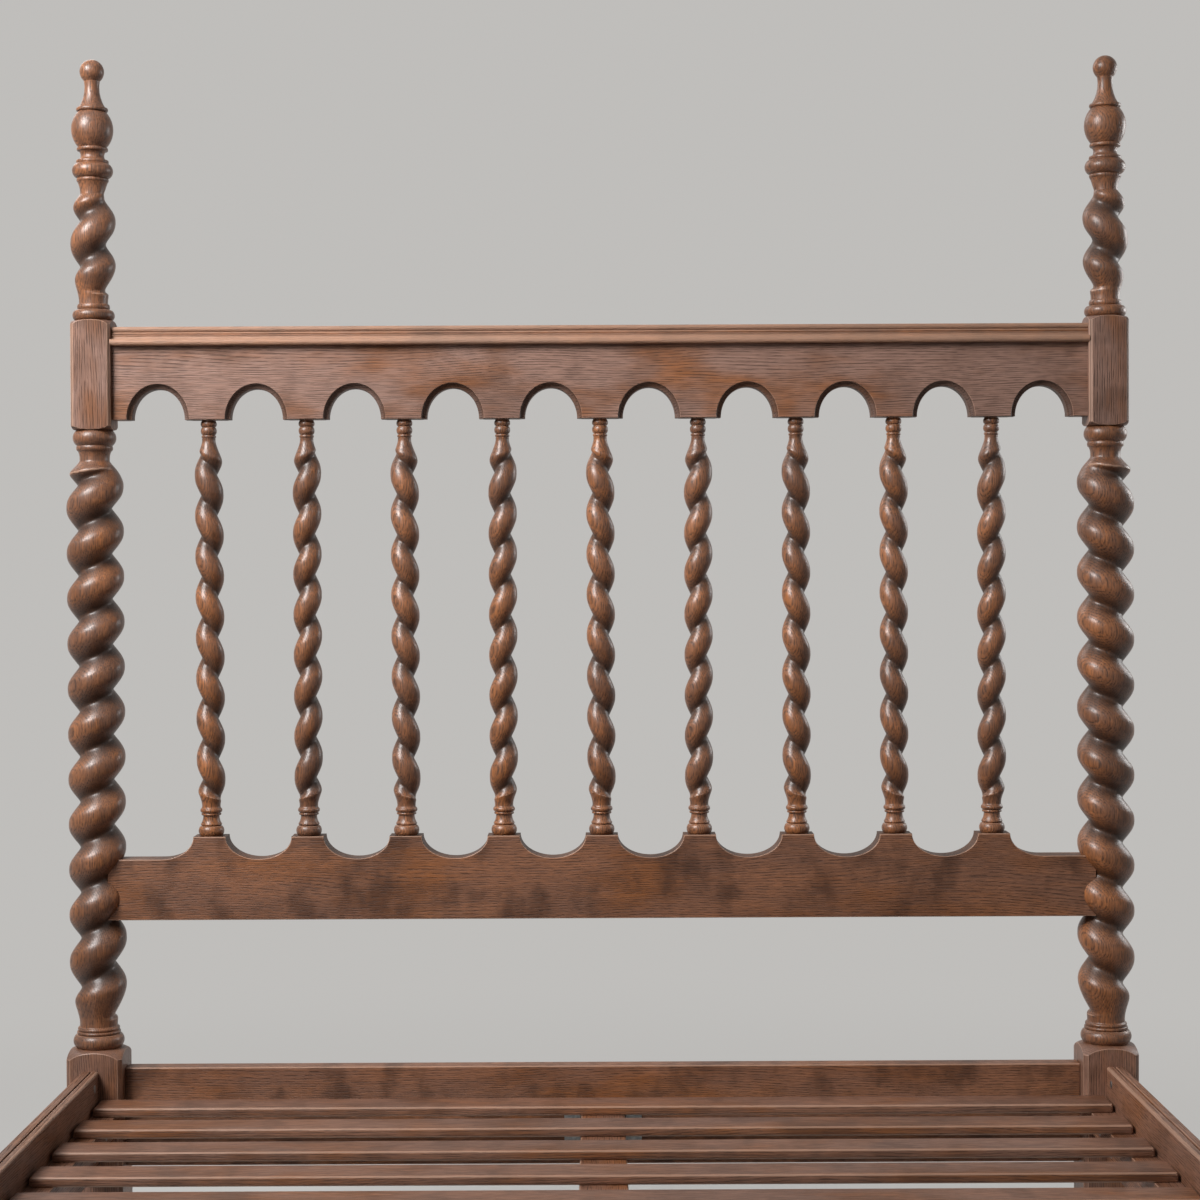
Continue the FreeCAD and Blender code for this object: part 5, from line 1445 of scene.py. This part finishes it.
class BED_OT_hardware(bpy.types.Operator):
    """Set out covers, nuts and screws, and finish the pieces that keep the frame's own shapes."""

    bl_idname = "bed.hardware"
    bl_label = "Hardware"

    def execute(self, context):
        deck = context.scene.bed_deck
        self.covers(deck)
        self.nuts(deck)
        self.ledger_screws(deck)
        self.bracket_screws(deck)
        self.kept_nodes()
        return {"FINISHED"}

    def set_out(self, name, bm, places, node, finish="zinc steel"):
        pattern = piece_from(bm, name + "_pattern", finish, tone_of(node), ALL_TURNED)
        mesh = grown(
            "Set out on points",
            {"Shape": pattern, "Seed": TONE_NUMBERS[node], "Finish": finish_of(finish)}, points_mesh(places),
        )
        bpy.data.objects.remove(pattern)
        seat(piece_of(mesh, name, finish), finish, node)

    def covers(self, deck):
        low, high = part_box("bolt_covers")
        radius = deck.cover_radius
        places = [
            (Vector((x, inner_face("lower_post_%s_left" % name, -end).y, z)), Vector((0.0, end, 0.0)))
            for x, (name, end), z in product(
                inset(low.x, high.x, radius), ENDS.items(), inset(low.z, high.z, radius),
            )
        ]
        cover = turned_head(radius, deck.cover_rise * COVER_RIM, deck.cover_rise * COVER_DOME)
        self.set_out("cover_buttons", cover, places, "bolt_covers", "turned oak")

    def nuts(self, deck):
        low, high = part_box("barrel_nuts")
        radius = deck.nut_radius
        places = [
            (Vector((inner_face("side_rail_" + name, side).x, y, z)), Vector((-side, 0.0, 0.0)))
            for (name, side), y, z in product(
                SIDES.items(), inset(low.y, high.y, radius), inset(low.z, high.z, radius),
            )
        ]
        head = driven_head(radius, deck.head_rise, 1, deck.nut_slot)
        self.set_out("barrel_nut_ends", head, places, "barrel_nuts")

    def ledger_screws(self, deck):
        low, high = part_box("ledger_screws")
        radius = deck.screw_radius
        places = []
        for name, side in SIDES.items():
            face = inner_face("ledger_" + name, side).x
            for i in range(LEDGER_SCREWS):
                y = low.y + radius + (high.y - low.y - 2 * radius) * i / (LEDGER_SCREWS - 1)
                places.append((Vector((face, y, (low.z + high.z) / 2)), Vector((-side, 0.0, 0.0))))
        head = driven_head(radius, deck.head_rise, 2, deck.cross_width)
        self.set_out("ledger_screw_heads", head, places, "ledger_screws")

    def bracket_screws(self, deck):
        low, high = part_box("bracket_screws")
        radius = deck.screw_radius
        plate = {end: inner_face(name + "_rail", end).y - end * BRACKET_PLATE for name, end in ENDS.items()}
        places = [
            (Vector((x, plate[end], z)), Vector((0.0, -end, 0.0)))
            for end, x, z in product(
                plate, inset(low.x, high.x, radius), inset(low.z, high.z, radius),
            )
        ]
        head = driven_head(radius, deck.head_rise, 2, deck.cross_width)
        self.set_out("bracket_screw_heads", head, places, "bracket_screws")

    def kept_nodes(self):
        finishes = {
            "zinc steel": (
                "insert_nuts", "bed_bolts", "beam_bracket_head", "beam_bracket_foot",
                "levelling_foot_head", "levelling_foot_foot",
            ),
            "upright oak": ("centre_leg_head", "centre_leg_foot"),
        }
        for finish, nodes in finishes.items():
            for node in nodes:
                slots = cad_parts[node].data.materials
                slots.clear()
                slots.append(finish_of(finish))


def seen_straight(here):
    """1 for a ray that shows its surface to the camera, straight or by reflection, and 0 for light."""
    path = here.add("ShaderNodeLightPath")
    glossy = path.output("Is Glossy Ray")
    through = path.output("Is Transmission Ray")
    return (path.output("Is Camera Ray") + glossy + through).least(1.0)


class BED_OT_studio(bpy.types.Operator):
    """Set up the floor, the lamps and the camera."""

    bl_idname = "bed.studio"
    bl_label = "Studio"

    def execute(self, context):
        studio = context.scene.bed_studio
        self.floor(studio)
        self.sky(studio)
        for name, lamp in LAMPS.items():
            self.lamp(name, getattr(studio, name), *lamp)
        self.camera(studio)
        context.scene.view_settings.view_transform = "Standard"
        return {"FINISHED"}

    def floor(self, studio):
        bm = bmesh.new()
        bmesh.ops.create_circle(bm, cap_ends=True, segments=FLOOR_SIDES, radius=FLOOR_RADIUS)
        mesh = bpy.data.meshes.new("studio_floor")
        bm.to_mesh(mesh)
        bm.free()
        material = bpy.data.materials.new("studio floor")
        here = emptied(material)
        tint = opaque(studio.floor)
        paint = here.add("ShaderNodeBsdfDiffuse", None, {"Color": tint})
        backdrop = here.add("ShaderNodeEmission", None, {"Color": tint, "Strength": BACKDROP_STRENGTH})
        place = here.add("ShaderNodeTexCoord", output="Object")
        away = here.add("ShaderNodeVectorMath", {"operation": "LENGTH"}, {0: place}, output="Value")
        far = away.step(FLOOR_NEAR, FLOOR_FAR, FLOOR_LIFT, 1.0) * seen_straight(here)
        surface = here.add("ShaderNodeMixShader", None, {0: far, 1: paint, 2: backdrop})
        # Clear from below, so that the underside of the bed can be seen
        below = here.add("ShaderNodeNewGeometry", output="Backfacing")
        clear = here.add("ShaderNodeBsdfTransparent")
        surface = here.add("ShaderNodeMixShader", None, {0: below, 1: surface, 2: clear})
        here.add("ShaderNodeOutputMaterial", None, {"Surface": surface})
        mesh.materials.append(material)
        floor = placed("studio_floor", mesh)
        floor.location.z = -FLOOR_DROP

    def sky(self, studio):
        world = bpy.data.worlds.new("studio sky")
        here = emptied(world)
        strength = seen_straight(here) * (BACKDROP_STRENGTH - studio.sky) + studio.sky
        light = here.add("ShaderNodeBackground", None, {"Color": opaque(studio.floor), "Strength": strength})
        here.add("ShaderNodeOutputWorld", None, {"Surface": light})
        bpy.context.scene.world = world

    def lamp(self, name, power, place, aim, size, spread):
        data = bpy.data.lights.new("studio_" + name, "AREA")
        data.energy = power
        data.size = size
        data.spread = spread
        lamp = placed("studio_" + name, data)
        lamp.location = place
        lamp.rotation_euler = (Vector(aim) - Vector(place)).to_track_quat("-Z", "Y").to_euler()

    def camera(self, studio):
        data = bpy.data.cameras.new("studio_camera")
        data.lens = studio.lens
        data.sensor_width = SENSOR_WIDTH
        data.clip_end = VIEW_DISTANCE
        camera = placed("studio_camera", data)
        upright = Matrix.Rotation(math.pi / 2 - studio.tilt, 4, "X")
        camera.matrix_world = (
            Matrix.Translation(studio.place) @ Matrix.Rotation(studio.swing, 4, "Z")
            @ upright @ Matrix.Rotation(studio.roll, 4, "Z")
        )
        bpy.context.scene.camera = camera


class BED_PT_panel(bpy.types.Panel):
    """Pieces and settings of the four-poster bed."""

    bl_idname = "BED_PT_panel"
    bl_label = "Four-poster bed"
    bl_space_type = "VIEW_3D"
    bl_region_type = "UI"
    bl_category = "Bed"

    def draw(self, context):
        for operator in OPERATORS:
            self.layout.operator(operator.bl_idname)
        for name in SETTINGS:
            settings = getattr(context.scene, name)
            box = self.layout.box()
            for setting in settings.__annotations__:
                box.prop(settings, setting)


OPERATORS = (
    BED_OT_lower_posts,
    BED_OT_upper_posts,
    BED_OT_finials,
    BED_OT_spindles,
    BED_OT_headboard_rails,
    BED_OT_bed_rails,
    BED_OT_slats,
    BED_OT_hardware,
    BED_OT_studio,
)
SETTINGS = {
    "bed_posts": PostSizes,
    "bed_headboard": HeadboardSizes,
    "bed_deck": DeckSizes,
    "bed_finish": OakFinish,
    "bed_studio": StudioSettings,
}


def register():
    for group in (*SETTINGS.values(), *OPERATORS, BED_PT_panel):
        bpy.utils.register_class(group)
    for name, group in SETTINGS.items():
        setattr(bpy.types.Scene, name, PointerProperty(type=group))


def unregister():
    for name in SETTINGS:
        delattr(bpy.types.Scene, name)
    for group in (BED_PT_panel, *OPERATORS, *SETTINGS.values()):
        bpy.utils.unregister_class(group)


def main():
    register()
    bpy.ops.bed.lower_posts()
    bpy.ops.bed.upper_posts()
    bpy.ops.bed.finials()
    bpy.ops.bed.spindles()
    bpy.ops.bed.headboard_rails()
    bpy.ops.bed.bed_rails()
    bpy.ops.bed.slats()
    bpy.ops.bed.hardware()
    bpy.ops.bed.studio()


if __name__ == "__main__":
    main()
